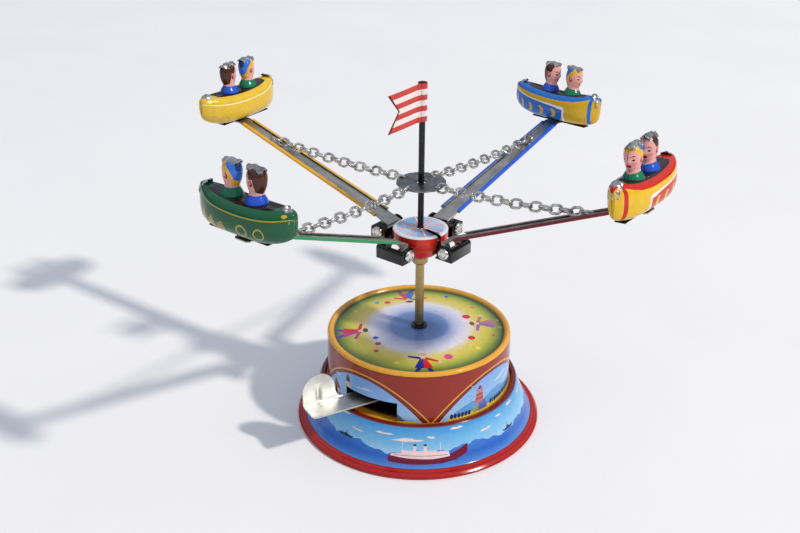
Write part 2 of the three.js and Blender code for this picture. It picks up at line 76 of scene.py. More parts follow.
# ---- sizes: read from the frame, or the CAD model's own where a box can't give them -------------
GAP = 0.3
SHEET = 0.6
FLANGE_R = high("base_skirt")[0]
SHOULDER_R = 49.4
DRUM_R = high("base_drum")[0]
DRUM_Z = low("base_drum")[2]
DRUM_TOP = high("base_drum")[2]
TOP_Z = high("top_plate")[2]
RIM_R = high("top_plate")[0]
DISC_EDGE_R, DISC_EDGE_Z, DISC_CROWN = 41.6, 46.8, 2.0
SHELF_R = 39.0
SHELF_Z = DRUM_Z - GAP
WINDOW_Z = 31.6
WINDOW_FROM, WINDOW_TO = -140.4, -103.4
LEVER_Z = low("lever")[2]
LEVER_AZIMUTH = -151.4
LEVER_REACH = 67.4  # from the spindle along the strip
LEVER_PASS = 15.1  # from the spindle to the strip's line
TAB_TOP = high("lever")[2]
SPINDLE_Z, SPINDLE_TOP = low("spindle")[2], high("spindle")[2]
COLLAR_Z = low("spindle_collar")[2]
BORE = 2.45
HUB_R = 13.2
HUB_SLOT_AZIMUTH = -49.0  # degrees, as every azimuth
HUB_Z = high("hub_cap")[2]
POLE_R = high("flag_pole")[0]
POLE_TOP = high("flag_pole")[2]
DISC_Z = low("chain_disc")[2]
CHAIN_HOLE_R = 9.6
FLAG_LENGTH, FLAG_HEIGHT, FLAG_DROOP = 20.6, 18.0, 2.2
FLAG_Z = high("flag")[2] - FLAG_HEIGHT
FLAG_AZIMUTH = -138.0
LEVEL_SLOPE = math.radians(18.8)
REST_SLOPES = {"red": 24.3, "blue": 12.0, "yellow": 16.6, "green": 22.2}
PIN_R = math.hypot(*JOINTS["arm_red_lift"]["pos_m"][:2]) / MM
PIN_Z = JOINTS["arm_red_lift"]["pos_m"][2] / MM
ARM_PLANE = 4.9
ARM_START, ARM_END = 5.8, 97.2
GONDOLA_R = 116.3
HULL_Z = 135.0
HOOK = (79.5, 5.4)
HULL_HALF = 25.4
BEAM_HALF = 8.5
DECK = 14.8
SHEER_RISE = 2.4
FRONT_SEAT, REAR_SEAT = 8.0, -5.2


def radius_of(points):
    return np.hypot(points[:, 0], points[:, 1])


def level_axes(heading):
    """Unit vectors along a heading in radians and to the left of it."""
    c, s = math.cos(heading), math.sin(heading)
    return np.array([c, s]), np.array([-s, c])


def azimuth_of(arm):
    x, y, _ = JOINTS[f"arm_{arm}_lift"]["pos_m"]
    return math.atan2(y, x)


def placed_object(name, data):
    """A new object in the scene."""
    made = bpy.data.objects.new(name, data)
    bpy.context.scene.collection.objects.link(made)
    return made


def mesh_of(name, points, faces):
    """A mesh in metres from points in millimetres."""
    mesh = bpy.data.meshes.new(name)
    mesh.from_pydata((np.asarray(points) * MM).tolist(), [], faces)
    return mesh


# ---- camera, floor and light --------------------------------------------------------------------
def look_from(elevation, distance, aim_height, aside, roll, lens):
    """A camera that looks along +Y and down at the spindle, passing it on the left by aside."""
    tilt, twist = math.radians(elevation), math.radians(roll)
    forward = np.array([0, math.cos(tilt), -math.sin(tilt)])
    level, up = np.array([1.0, 0, 0]), np.array([0, math.sin(tilt), math.cos(tilt)])
    right = level * math.cos(twist) + up * math.sin(twist)
    above = up * math.cos(twist) - level * math.sin(twist)
    eye = (np.array([0, 0, aim_height]) - forward * distance - right * aside) * MM
    camera = bpy.data.cameras.new("camera")
    camera.lens, camera.sensor_width = lens, 36
    camera.clip_start = 0.01
    holder = placed_object("camera", camera)
    rows = [[right[i], above[i], -forward[i], eye[i]] for i in range(3)]
    holder.matrix_world = Matrix([*rows, [0, 0, 0, 1]])
    bpy.context.scene.camera = holder


def softbox(name, azimuth, elevation, distance, size, power, colour):
    """A square lamp aimed at the toy from an azimuth and an elevation in degrees."""
    lamp = bpy.data.lights.new(name, "AREA")
    lamp.size, lamp.energy, lamp.color = size, power, colour
    holder = placed_object(name, lamp)
    turn = Matrix.Rotation(math.radians(azimuth + 90), 4, "Z")
    tilt = Matrix.Rotation(math.radians(90 - elevation), 4, "X")
    aim = Matrix.Translation((0, 0, 0.08))
    holder.matrix_world = aim @ turn @ tilt @ Matrix.Translation((0, 0, distance))


# the room's light from straight below (0) to straight above (1)
ROOM_TONES = (
    (0.0, (0.06, 0.06, 0.07)), (0.16, (0.10, 0.11, 0.13)),
    (0.34, (0.50, 0.54, 0.63)), (1.0, (0.56, 0.60, 0.69)),
)


def studio():
    """A soft grey room, bright above, with one warm key lamp."""
    world = bpy.data.worlds.new("studio")
    world.use_nodes = True
    tree = world.node_tree
    place = tree.nodes.new("ShaderNodeTexCoord")
    split = tree.nodes.new("ShaderNodeSeparateXYZ")
    tree.links.new(place.outputs["Generated"], split.inputs["Vector"])
    ramp = tree.nodes.new("ShaderNodeValToRGB")
    tree.links.new(split.outputs["Z"], ramp.inputs["Fac"])
    elements = ramp.color_ramp.elements
    for number, (where, colour) in enumerate(ROOM_TONES):
        element = elements[number] if number < 2 else elements.new(where)
        element.position, element.color = where, (*colour, 1)
    background = tree.nodes["Background"]
    tree.links.new(ramp.outputs["Color"], background.inputs["Color"])
    background.inputs["Strength"].default_value = 1.0
    bpy.context.scene.world = world
    warm = (1.0, 0.93, 0.82)
    softbox("key", azimuth=-29.5, elevation=43.5, distance=8.0, size=0.44, power=480, colour=warm)
    bpy.context.scene.view_settings.view_transform = "Standard"


def floor():
    reach = 6000
    corners = [(-reach, -reach, 0), (reach, -reach, 0), (reach, reach, 0), (-reach, reach, 0)]
    mesh = mesh_of("floor", corners, [(0, 1, 2, 3)])
    mesh.materials.append(paper_material())
    placed_object("floor", mesh)


# ---- materials ----------------------------------------------------------------------------------
def linear(red, green, blue):
    """Linear colour from the 0 to 255 values that a paint chart gives."""
    value = np.array([red, green, blue]) / 255
    return np.where(value < 0.04045, value / 12.92, ((value + 0.055) / 1.055) ** 2.4)


class Shader:
    """A material and short ways to add and join its nodes."""

    def __init__(self, name):
        self.material = bpy.data.materials.new(name)
        self.material.use_nodes = True
        self.tree = self.material.node_tree
        self.surface = self.tree.nodes["Principled BSDF"]

    def node(self, kind, **values):
        made = self.tree.nodes.new(kind)
        for key, value in values.items():
            setattr(made, key, value)
        return made

    def join(self, source, target):
        self.tree.links.new(source, target)

    def feed(self, socket, source):
        self.join(source, self.surface.inputs[socket])

    def set(self, **values):
        for key, value in values.items():
            self.surface.inputs[key.replace("_", " ")].default_value = value

    def noise(self, scale, detail=2.0, roughness=0.5, stretch=(1, 1, 1)):
        """Noise with scale in features per metre."""
        place = self.node("ShaderNodeTexCoord")
        mapping = self.node("ShaderNodeMapping")
        mapping.inputs["Scale"].default_value = stretch
        self.join(place.outputs["Object"], mapping.inputs["Vector"])
        texture = self.node("ShaderNodeTexNoise")
        texture.inputs["Scale"].default_value = scale
        texture.inputs["Detail"].default_value = detail
        texture.inputs["Roughness"].default_value = roughness
        self.join(mapping.outputs["Vector"], texture.inputs["Vector"])
        return texture.outputs["Fac"]

    def remap(self, source, from_low, from_high, to_low, to_high):
        ranged = self.node("ShaderNodeMapRange")
        limits = {"From Min": from_low, "From Max": from_high, "To Min": to_low, "To Max": to_high}
        for key, value in limits.items():
            ranged.inputs[key].default_value = value
        self.join(source, ranged.inputs["Value"])
        return ranged.outputs["Result"]

    def maths(self, operation, first, second):
        node = self.node("ShaderNodeMath", operation=operation)
        for socket, value in zip(node.inputs, (first, second)):
            if isinstance(value, (int, float)):
                socket.default_value = value
            else:
                self.join(value, socket)
        return node.outputs["Value"]

    def mix(self, factor, first, second, blend="MIX"):
        node = self.node("ShaderNodeMix", data_type="RGBA", blend_type=blend)
        for socket, value in ((node.inputs[0], factor), (node.inputs[6], first), (node.inputs[7], second)):
            if hasattr(value, "is_linked"):
                self.join(value, socket)
            elif isinstance(value, (int, float)):
                socket.default_value = value
            else:
                socket.default_value = (*value, 1)
        return node.outputs[2]

    def bump(self, *heights):
        """Each height is a (source, depth in metres) pair."""
        normal = None
        for source, depth in heights:
            node = self.node("ShaderNodeBump")
            node.inputs["Strength"].default_value = 1.0
            node.inputs["Distance"].default_value = depth
            self.join(source, node.inputs["Height"])
            if normal is not None:
                self.join(normal, node.inputs["Normal"])
            normal = node.outputs["Normal"]
        self.join(normal, self.surface.inputs["Normal"])


VARNISH = {"Coat_Weight": 0.06, "Coat_Roughness": 0.05, "Specular_IOR_Level": 0.34}


def paper_material():
    shader = Shader("paper")
    tone = shader.remap(shader.noise(9, 3), 0.3, 0.7, 0.0, 1.0)
    shader.feed("Base Color", shader.mix(tone, (0.86, 0.86, 0.87), (0.89, 0.89, 0.895)))
    shader.set(Roughness=0.75)
    shader.bump((shader.noise(900, 2), 0.00004))
    return shader.material


def printed_material():
    """Glossy litho print: the sheet's own colours, faint ink mottle and small chips, as the alpha allows."""
    shader = Shader("litho_print")
    ink = shader.node("ShaderNodeVertexColor", layer_name="print")
    mottle = shader.remap(shader.noise(420, 3), 0.3, 0.7, 0.93, 1.05)
    shade = shader.node("ShaderNodeVectorMath", operation="SCALE")
    shader.join(ink.outputs["Color"], shade.inputs[0])
    shader.join(mottle, shade.inputs["Scale"])
    chips = shader.maths("MULTIPLY", shader.noise(330, 5, 0.65), ink.outputs["Alpha"])
    worn = shader.remap(chips, 0.575, 0.60, 0.0, 1.0)
    shader.feed("Base Color", shader.mix(worn, shade.outputs["Vector"], (0.16, 0.14, 0.12)))
    shader.feed("Metallic", shader.maths("MULTIPLY", worn, 0.8))
    gloss = shader.remap(shader.noise(160, 4), 0.35, 0.7, 0.12, 0.22)
    shader.feed("Roughness", shader.maths("MAXIMUM", gloss, shader.maths("MULTIPLY", worn, 0.45)))
    shader.set(**VARNISH)
    shader.bump((shader.noise(38, 2), 0.00022), (shader.noise(1500, 2), 0.000006))
    return shader.material


def lacquer_material(name, colour, dark, roughness):
    """One-colour stoving lacquer over tinplate, a little worn through."""
    shader = Shader(name)
    tone = shader.remap(shader.noise(260, 4), 0.3, 0.75, 0.0, 1.0)
    paint = shader.mix(tone, dark, colour)
    worn = shader.remap(shader.noise(520, 5, 0.7), 0.69, 0.72, 0.0, 1.0)
    shader.feed("Base Color", shader.mix(worn, paint, (0.20, 0.19, 0.18)))
    shader.feed("Metallic", shader.maths("MULTIPLY", worn, 0.7))
    uneven = shader.remap(shader.noise(180, 3), 0.3, 0.7, roughness - 0.05, roughness + 0.12)
    shader.feed("Roughness", uneven)
    shader.set(**VARNISH)
    shader.bump((shader.noise(60, 2), 0.00015), (shader.noise(1800, 2), 0.000006))
    return shader.material


def metal_material(name, bright, dull, roughness, grain=(1, 1, 1), depth=0.00002, patches=120):
    """Bare metal with uneven tarnish, fine rolling marks and small pits."""
    shader = Shader(name)
    tarnish = shader.remap(shader.noise(patches, 5, 0.6), 0.32, 0.68, 0.0, 1.0)
    shader.feed("Base Color", shader.mix(tarnish, dull, bright))
    marks = shader.noise(700, 4, 0.6, grain)
    uneven = shader.remap(shader.noise(90, 3), 0.3, 0.7, -0.06, 0.10)
    fine = shader.remap(marks, 0.3, 0.7, roughness - 0.04, roughness + 0.08)
    shader.feed("Roughness", shader.maths("ADD", uneven, fine))
    shader.set(Metallic=1.0)
    shader.bump((marks, depth), (shader.noise(55, 2), 0.00025))
    return shader.material


PRINT = printed_material()
TIN = metal_material("bare_tin", (0.80, 0.79, 0.75), (0.62, 0.61, 0.58), 0.30)
TAB_TIN = metal_material("tab_tin", (0.66, 0.65, 0.62), (0.24, 0.24, 0.23), 0.20)
LEVER_TIN = metal_material("lever_tin", (0.80, 0.80, 0.77), (0.62, 0.62, 0.59), 0.44, depth=0.00003)
INSIDE = metal_material("inside_tin", (0.30, 0.22, 0.12), (0.16, 0.11, 0.06), 0.45)
ARM_TIN = metal_material("arm_tin", (0.52, 0.51, 0.48), (0.34, 0.33, 0.30), 0.40, depth=0.00005)
DISC_TIN = metal_material("disc_tin", (0.30, 0.30, 0.31), (0.14, 0.14, 0.15), 0.34, patches=260)
BRASS = metal_material("brass", (0.50, 0.38, 0.17), (0.30, 0.22, 0.10), 0.30, (1, 1, 0.2))
STEEL = metal_material("steel", (0.42, 0.42, 0.41), (0.28, 0.28, 0.27), 0.35)
CHROME = metal_material("chain_chrome", (0.92, 0.90, 0.85), (0.26, 0.25, 0.23), 0.12, patches=520)
NICKEL = metal_material("nickel", (0.78, 0.76, 0.71), (0.55, 0.53, 0.49), 0.16)
BLACK = lacquer_material("black_lacquer", (0.006, 0.006, 0.007), (0.002, 0.002, 0.002), 0.12)


# ---- flat domains and their triangles -----------------------------------------------------------
def dense(points, step=1.4):
    """A closed outline with no edge longer than step."""
    points = np.asarray(points, float)
    out = []
    for a, b in zip(points, np.roll(points, -1, axis=0)):
        count = max(1, math.ceil(np.linalg.norm(b - a) / step))
        out += [a + (b - a) * i / count for i in range(count)]
    return np.array(out)


def inside(points, outline):
    x, y = points[:, 0], points[:, 1]
    result = np.zeros(len(points), bool)
    (left, bottom), (right, top) = outline.min(axis=0), outline.max(axis=0)
    near = (x >= left) & (x <= right) & (y >= bottom) & (y <= top)
    x, y = x[near], y[near]
    hit = np.zeros(len(x), bool)
    for (x0, y0), (x1, y1) in zip(outline, np.roll(outline, -1, axis=0)):
        if y0 != y1:
            hit ^= ((y0 > y) != (y1 > y)) & (x < (x1 - x0) * (y - y0) / (y1 - y0) + x0)
    result[near] = hit
    return result


def clear_of(points, holes):
    chosen = np.ones(len(points), bool)
    for hole in holes:
        chosen &= ~inside(points, hole)
    return chosen


def polar_grid(radii, spokes):
    """Rings and spokes about the origin, as points and edges."""
    angles = 2 * np.pi * np.arange(spokes) / spokes
    points = [(r * math.cos(a), r * math.sin(a)) for r in radii for a in angles]
    edges = []
    for i in range(len(radii)):
        for j in range(spokes):
            edges.append((i * spokes + j, i * spokes + (j + 1) % spokes))
            if i:
                edges.append(((i - 1) * spokes + j, i * spokes + j))
    return points, edges


def square_grid(xs, ys):
    points = [(x, y) for y in ys for x in xs]
    edges = []
    for i in range(len(ys)):
        for j in range(len(xs)):
            if j:
                edges.append((i * len(xs) + j - 1, i * len(xs) + j))
            if i:
                edges.append(((i - 1) * len(xs) + j, i * len(xs) + j))
    return points, edges


def tessellate(grid, outlines, keep):
    """Points and triangles of a domain, with the grid's lines and all outlines as edges."""
    points, edges = list(grid[0]), list(grid[1])
    for outline in outlines:
        start = len(points)
        points += [tuple(p) for p in outline]
        count = len(outline)
        edges += [(start + i, start + (i + 1) % count) for i in range(count)]
    result = geometry.delaunay_2d_cdt(points, edges, [], 0, 1e-4, False)
    xy = np.array([tuple(p) for p in result[0]])
    triangles = np.array([f for f in result[2] if len(f) == 3])
    a, b, c = (xy[triangles[:, i]] for i in range(3))
    area = (b[:, 0] - a[:, 0]) * (c[:, 1] - a[:, 1]) - (b[:, 1] - a[:, 1]) * (c[:, 0] - a[:, 0])
    triangles[area < 0] = triangles[area < 0][:, ::-1]
    triangles = triangles[np.abs(area) > 1e-6]
    kept = triangles[keep(xy[triangles].mean(axis=1))]
    used, numbers = np.unique(kept, return_inverse=True)
    return xy[used], numbers.reshape(-1, 3)


PLAIN_WEAR = 0.72  # how readily a print chips; it goes in the print's alpha


def inked(colour, wear):
    return np.array([*colour, wear])


def colours_for(xy, triangles, layers):
    """Corner colours of each triangle, from the last layer whose outline holds it."""
    middle = xy[triangles].mean(axis=1)
    top = np.zeros(len(triangles), int)
    for number, (outline, _) in enumerate(layers):
        if outline is not None:
            top[inside(middle, outline)] = number
    colours = np.ones((len(triangles), 3, 4))
    for number, (_, paint) in enumerate(layers):
        chosen = top == number
        if chosen.any():
            corners = xy[triangles[chosen]].reshape(-1, 2)
            value = paint(corners) if callable(paint) else np.tile(paint, (len(corners), 1))
            if value.shape[1] == 3:
                value = np.column_stack([value, np.full(len(value), PLAIN_WEAR)])
            colours[chosen] = value.reshape(-1, 3, 4)
    return colours


class Patch:
    """A flat domain with its artwork, and the function that bends it to shape.

    place takes points of the domain to millimetres in space. The first layer is the ground. turned says that
    the printed face is on the other side from the one that place's own handedness gives. both_sides prints the
    back as well.
    """

    def __init__(self, grid, keep, place, layers, turned=False, thickness=0.4, outlines=(), both_sides=False):
        shapes = [layer[0] for layer in layers if layer[0] is not None]
        self.xy, self.triangles = tessellate(grid, [*outlines, *shapes], keep)
        self.colours = colours_for(self.xy, self.triangles, layers)
        self.place, self.turned, self.thickness, self.both_sides = place, turned, thickness, both_sides

    def solid(self):
        """The thick sheet's points, faces, corner normals, corner colours and material numbers."""
        step = 0.02
        outer = self.place(self.xy)
        along = self.place(self.xy + [step, 0]) - self.place(self.xy - [step, 0])
        across = self.place(self.xy + [0, step]) - self.place(self.xy - [0, step])
        normal = np.cross(along, across) * (-1 if self.turned else 1)
        normal /= np.maximum(np.linalg.norm(normal, axis=1), 1e-12)[:, None]
        points = np.concatenate([outer, outer - normal * self.thickness])
        count = len(outer)
        front = self.triangles[:, ::-1] if self.turned else self.triangles
        colours = self.colours[:, ::-1] if self.turned else self.colours
        used = {}
        for triangle in front.tolist():
            for a, b in zip(triangle, triangle[1:] + triangle[:1]):
                used[(a, b)] = True
        rim = [(b, a, a + count, b + count) for a, b in used if (b, a) not in used]
        faces = front.tolist() + (front[:, ::-1] + count).tolist() + [list(f) for f in rim]
        normals = [*normal[front].reshape(-1, 3), *(-normal[front[:, ::-1]]).reshape(-1, 3)]
        for a, b, c, _ in rim:
            flat = np.cross(points[b] - points[a], points[c] - points[a])
            normals += [flat / max(np.linalg.norm(flat), 1e-12)] * 4
        back = colours[:, ::-1].reshape(-1, 4) if self.both_sides else np.ones((len(front) * 3, 4))
        edge = np.tile(colours[0, 0] if self.both_sides else np.ones(4), (len(rim) * 4, 1))
        corner_colours = np.concatenate([colours.reshape(-1, 4), back, edge])
        numbers = [0] * len(front) + [1] * (len(front) + len(rim))
        return points, faces, normals, corner_colours, numbers


def bordered(grid, border, place, layers, holes=(), **options):
    """A patch cut along its border and round its holes."""
    def keep(points):
        return inside(points, border) & clear_of(points, holes)

    return Patch(grid, keep, place, layers, outlines=[border, *holes], **options)


def shown(name, mesh, materials, replaces=()):
    piece = placed_object(name, mesh)
    for material in materials:
        mesh.materials.append(material)
    if replaces:
        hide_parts(*replaces)
    return piece


def rigid_piece(name, mesh, materials, body, replaces=()):
    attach(shown(name, mesh, materials, replaces), body)


def sheet_piece(name, patches, body, replaces=(), back=TIN, front=PRINT):
    """One printed piece from its patches."""
    points, faces, normals, colours, numbers = [], [], [], [], []
    for patch in patches:
        solid = patch.solid()
        start = sum(len(p) for p in points)
        points.append(solid[0])
        faces += [[i + start for i in face] for face in solid[1]]
        normals += list(solid[2])
        colours.append(solid[3])
        numbers += solid[4]
    mesh = mesh_of(name, np.concatenate(points), faces)
    mesh.polygons.foreach_set("material_index", numbers)
    mesh.polygons.foreach_set("use_smooth", [True] * len(faces))
    layer = mesh.color_attributes.new("print", "FLOAT_COLOR", "CORNER")
    layer.data.foreach_set("color", np.concatenate(colours).astype(np.float32).ravel())
    mesh.normals_split_custom_set([tuple(n) for n in normals])
    rigid_piece(name, mesh, [front, back], body, replaces)


# ---- turned and bevelled solids -----------------------------------------------------------------
def filleted(corners, closed=True, turn=math.radians(15)):
    """A polyline from (x, y, radius) corners, with the corners rounded to their radii."""
    points = [np.array(c[:2], float) for c in corners]
    out = []
    for i, corner in enumerate(corners):
        radius = corner[2] if len(corner) > 2 else 0
        ends = not closed and i in (0, len(corners) - 1)
        if not radius or ends:
            out.append(points[i])
            continue
        before, after = points[i - 1] - points[i], points[(i + 1) % len(points)] - points[i]
        before, after = before / np.linalg.norm(before), after / np.linalg.norm(after)
        half = math.acos(np.clip(before @ after, -1, 1)) / 2
        if half > math.pi / 2 - 0.01:
            out.append(points[i])
            continue
        centre = points[i] + (before + after) / np.linalg.norm(before + after) * radius / math.sin(half)
        first = points[i] + before * radius / math.tan(half) - centre
        last = points[i] + after * radius / math.tan(half) - centre
        sweep = math.pi - 2 * half
        sign = np.sign(first[0] * last[1] - first[1] * last[0])
        count = max(2, math.ceil(sweep / turn))
        for k in range(count + 1):
            angle = sign * sweep * k / count
            c, s = math.cos(angle), math.sin(angle)
            out.append(centre + [first[0] * c - first[1] * s, first[0] * s + first[1] * c])
    return np.array(out)


def turned_mesh(name, profile, segments):
    """A solid turned about Z from (radius, height, fillet) corners that meet the axis or close."""
    line = filleted(profile, closed=profile[0][0] > 0)
    on_axis = line[:, 0] < 1e-9
    points, index = [], []
    for (radius, height), centred in zip(line, on_axis):
        count = 1 if centred else segments
        index.append([len(points) + i % count for i in range(segments)])
        angles = [2 * math.pi * i / segments for i in range(count)]
        points += [(radius * math.cos(a), radius * math.sin(a), height) for a in angles]
    faces = []
    pairs = list(zip(index, index[1:])) + ([(index[-1], index[0])] if not on_axis[0] else [])
    for one, two in pairs:
        for i in range(segments):
            j = (i + 1) % segments
            face = list(dict.fromkeys([one[i], one[j], two[j], two[i]]))
            if len(face) > 2:
                faces.append(face)
    return smooth(mesh_of(name, points, faces))


def smooth(mesh, sharp=35):
    """Faces pointing out, smooth but for edges sharper than sharp degrees."""
    work = bmesh.new()
    work.from_mesh(mesh)
    bmesh.ops.recalc_face_normals(work, faces=work.faces)
    work.to_mesh(mesh)
    work.free()
    mesh.polygons.foreach_set("use_smooth", [True] * len(mesh.polygons))
    mesh.set_sharp_from_angle(angle=math.radians(sharp))
    return mesh


def eased(node, name, width, body, material):
    """A copy of a CAD node whose sharp edges are rounded, standing for it."""
    work = bmesh.new()
    work.from_mesh(frame["nodes"][node].data)
    bmesh.ops.remove_doubles(work, verts=work.verts, dist=1e-6)
    bmesh.ops.dissolve_limit(work, angle_limit=math.radians(2), verts=work.verts, edges=work.edges)
    crisp = [e for e in work.edges if len(e.link_faces) == 2 and e.calc_face_angle(0) > math.radians(35)]
    bmesh.ops.bevel(
        work, geom=crisp, offset=width * MM, segments=2, profile=0.5, affect="EDGES", clamp_overlap=True)
    bmesh.ops.triangulate(work, faces=[f for f in work.faces if len(f.verts) > 4])
    mesh = bpy.data.meshes.new(name)
    work.to_mesh(mesh)
    work.free()
    rigid_piece(name, smooth(mesh, 40), [material], body, (node,))


def repaint(node, material):
    """A CAD node that stays, with a finished material in place of its plain one."""
    mesh = frame["nodes"][node].data
    mesh.materials.clear()
    mesh.materials.append(material)
    mesh.polygons.foreach_set("use_smooth", [True] * len(mesh.polygons))
    mesh.set_sharp_from_angle(angle=math.radians(30))


# ---- colours and small shapes for the prints ----------------------------------------------------
def blend(stops, where):
    """Colours at the values in where, between (value, colour) stops."""
    places = [stop[0] for stop in stops]
    channels = np.array([stop[1] for stop in stops])
    return np.column_stack([np.interp(where, places, channels[:, k]) for k in range(channels.shape[1])])


def moved(points, turn, x=0.0, y=0.0):
    """Points turned about the origin by an angle in radians, then shifted by x and y."""
    across, up = np.asarray(points, float).T
    c, s = math.cos(turn), math.sin(turn)
    return np.column_stack([x + across * c - up * s, y + across * s + up * c])


def ellipse(x, y, rx, ry, turn=0.0, count=18):
    angles = 2 * np.pi * np.arange(count) / count
    return moved(np.column_stack([rx * np.cos(angles), ry * np.sin(angles)]), turn, x, y)


def dot(azimuth, radius, size):
    """A round spot at an azimuth in degrees and a radius about the origin."""
    angle = math.radians(azimuth)
    return ellipse(radius * math.cos(angle), radius * math.sin(angle), size, size)


def streak(x, y, length, height, lift=0.0):
    """A thin cloud: a flat underside and a lumpy top, rising to one side by lift."""
    t = np.linspace(0, 1, 13)
    top = height * np.sin(np.pi * t) ** 0.6 * (0.75 + 0.25 * np.sin(9 * t + x))
    bottom = -0.25 * height * np.sin(np.pi * t)
    across = x + length * (t - 0.5)
    rise = y + lift * (t - 0.5)
    upper = np.column_stack([across, rise + top])
    lower = np.column_stack([across, rise + bottom])[::-1][1:-1]
    return np.concatenate([upper, lower])


def block(x0, y0, x1, y1):
    return np.array([(x0, y0), (x1, y0), (x1, y1), (x0, y1)], float)


WHITE = linear(240, 236, 230)
CREAM = linear(236, 214, 206)
BRICK = linear(146, 42, 30)
ORANGE = linear(226, 156, 48)
NAVY = linear(38, 42, 104)
HAZE = linear(206, 214, 236)


# ---- surfaces of revolution ---------------------------------------------------------------------
def lengths(profile):
    return np.concatenate([[0], np.cumsum(np.hypot(*np.diff(profile, axis=0).T))])


def extended(where, places, values):
    """Linear interpolation that runs on straight past both ends."""
    first = (values[1] - values[0]) / (places[1] - places[0])
    last = (values[-1] - values[-2]) / (places[-1] - places[-2])
    out = np.interp(where, places, values)
    out = np.where(where < places[0], values[0] + (where - places[0]) * first, out)
    return np.where(where > places[-1], values[-1] + (where - places[-1]) * last, out)


class Turned:
    """A turned sheet's polar domain, whose radius is start plus the length along the profile."""

    def __init__(self, profile, start, art_radius=1.0):
        self.profile, self.start, self.art_radius = np.asarray(profile), start, art_radius
        self.along = lengths(self.profile)

    def place(self, xy):
        rho = radius_of(xy)
        turn = xy / rho[:, None]
        radius = extended(rho - self.start, self.along, self.profile[:, 0])
        height = extended(rho - self.start, self.along, self.profile[:, 1])
        return np.column_stack([turn * radius[:, None], height])

    def art(self, points, azimuth=0.0, level=0.0):
        """Artwork in millimetres, to the right and up from an azimuth and a length along the profile."""
        points = dense(points)
        angle = math.radians(azimuth) + points[:, 0] / self.art_radius
        rho = self.start + level + points[:, 1]
        return np.column_stack([rho * np.cos(angle), rho * np.sin(angle)])

    def draw(self, shapes, azimuth, level=0.0, size=1.0):
        """Layers for the (points, colour) shapes of a small scene."""
        return [(self.art(np.array(points) * size, azimuth, level), colour) for points, colour in shapes]

    def loop(self, level, count=180):
        """A closed line round the axis; level may be a function of the azimuth in radians."""
        angle = 2 * np.pi * np.arange(count) / count
        rho = self.start + (level(angle) if callable(level) else level)
        return np.column_stack([rho * np.cos(angle), rho * np.sin(angle)])

    def patch(self, layers, spokes, step, holes=(), **options):
        """A patch of the whole sheet; its rings are the profile's own points and steps between them."""
        rings = [self.along[0]]
        for value in self.along[1:]:
            count = max(1, round((value - rings[-1]) / step))
            rings += list(np.linspace(rings[-1], value, count + 1)[1:])
        radii = self.start + np.array(rings)

        def keep(points):
            rho = radius_of(points)
            return (rho > radii[0] * 0.999) & (rho < radii[-1]) & clear_of(points, holes)

        return Patch(polar_grid(radii, spokes), keep, self.place, layers, outlines=holes, **options)


# ---- base ---------------------------------------------------------------------------------------
def skirt_sheet():
    """The skirt's sheet with the lengths along its profile to its foot and to its shoulder."""
    corners = [
        (58.2, 1.6, 0), (58.4, 0.0, 0.2), (60.4, 0.0, 0.4), (FLANGE_R, 1.2, 0.6), (59.6, 2.5, 0.9),
        (56.9, 3.6, 1.6), (52.2, 12.8, 60), (SHOULDER_R, SHELF_Z - 0.1, 0.8), (48.6, SHELF_Z + 1, 0.9),
        (47.0, SHELF_Z + 1, 0.6), (46.2, SHELF_Z + 0.1, 0.3), (SHELF_R, SHELF_Z, 0.0),
    ]
    profile = filleted(corners, closed=False)
    sheet = Turned(profile, start=60.0, art_radius=53.5)
    rising = slice(np.argmax(profile[:, 0]), np.argmax(profile[:, 1]))
    foot = np.interp(3.7, profile[rising, 1], sheet.along[rising])
    crest = sheet.along[np.argmax((profile[:, 0] < SHOULDER_R) & (profile[:, 1] > SHELF_Z + 0.2))]
    return sheet, foot, crest


def skirt_art(sheet, foot, span):
    """The sky, and the layers of sea, clouds and ships over it."""

    def sky(xy):
        rho = (radius_of(xy) - sheet.start - foot) / span
        stops = [(0.2, linear(176, 208, 234)), (0.5, linear(128, 188, 228)), (1.0, linear(58, 148, 214))]
        return blend(stops, rho)

    def sea(xy):
        rho = (radius_of(xy) - sheet.start - foot) / span
        stops = [(0.0, linear(84, 136, 210)), (0.22, linear(48, 100, 190)), (0.5, linear(70, 124, 204))]
        return blend(stops, rho)

    def horizon(angle):
        swell = 0.36 + 0.05 * np.sin(5 * angle + 1.1) + 0.035 * np.sin(11 * angle + 0.4)
        peaks = 0.05 * np.abs(np.sin(17 * angle)) + 0.03 * np.abs(np.sin(29 * angle + 0.7))
        hills = 0.20 * np.exp(-((np.angle(np.exp(1j * (angle + 2.72)))) / 0.16) ** 2)
        return foot + span * (swell + peaks + hills)

    layers = [(sheet.loop(horizon, 360), sea)]
    layers += skirt_clouds(sheet, foot, span)
    layers += sheet.draw(steamer(), -86.0, foot + 0.10 * span, 1.12)
    for azimuth, level in ((-36.0, 0.36), (-131.0, 0.40), (40.0, 0.38), (128.0, 0.36)):
        layers += sheet.draw(small_boat(), azimuth, foot + level * span)
    return sky, layers


def skirt_clouds(sheet, foot, span):
    layers = []
    for turn in range(26):
        azimuth = -178 + 13.8 * turn + random.uniform(-4, 4)
        level = foot + span * random.uniform(0.62, 0.93)
        cloud = streak(0, 0, random.uniform(4, 10), random.uniform(0.6, 1.2), random.uniform(-0.6, 0.6))
        layers.append((sheet.art(cloud, azimuth, level), CREAM))
    return layers


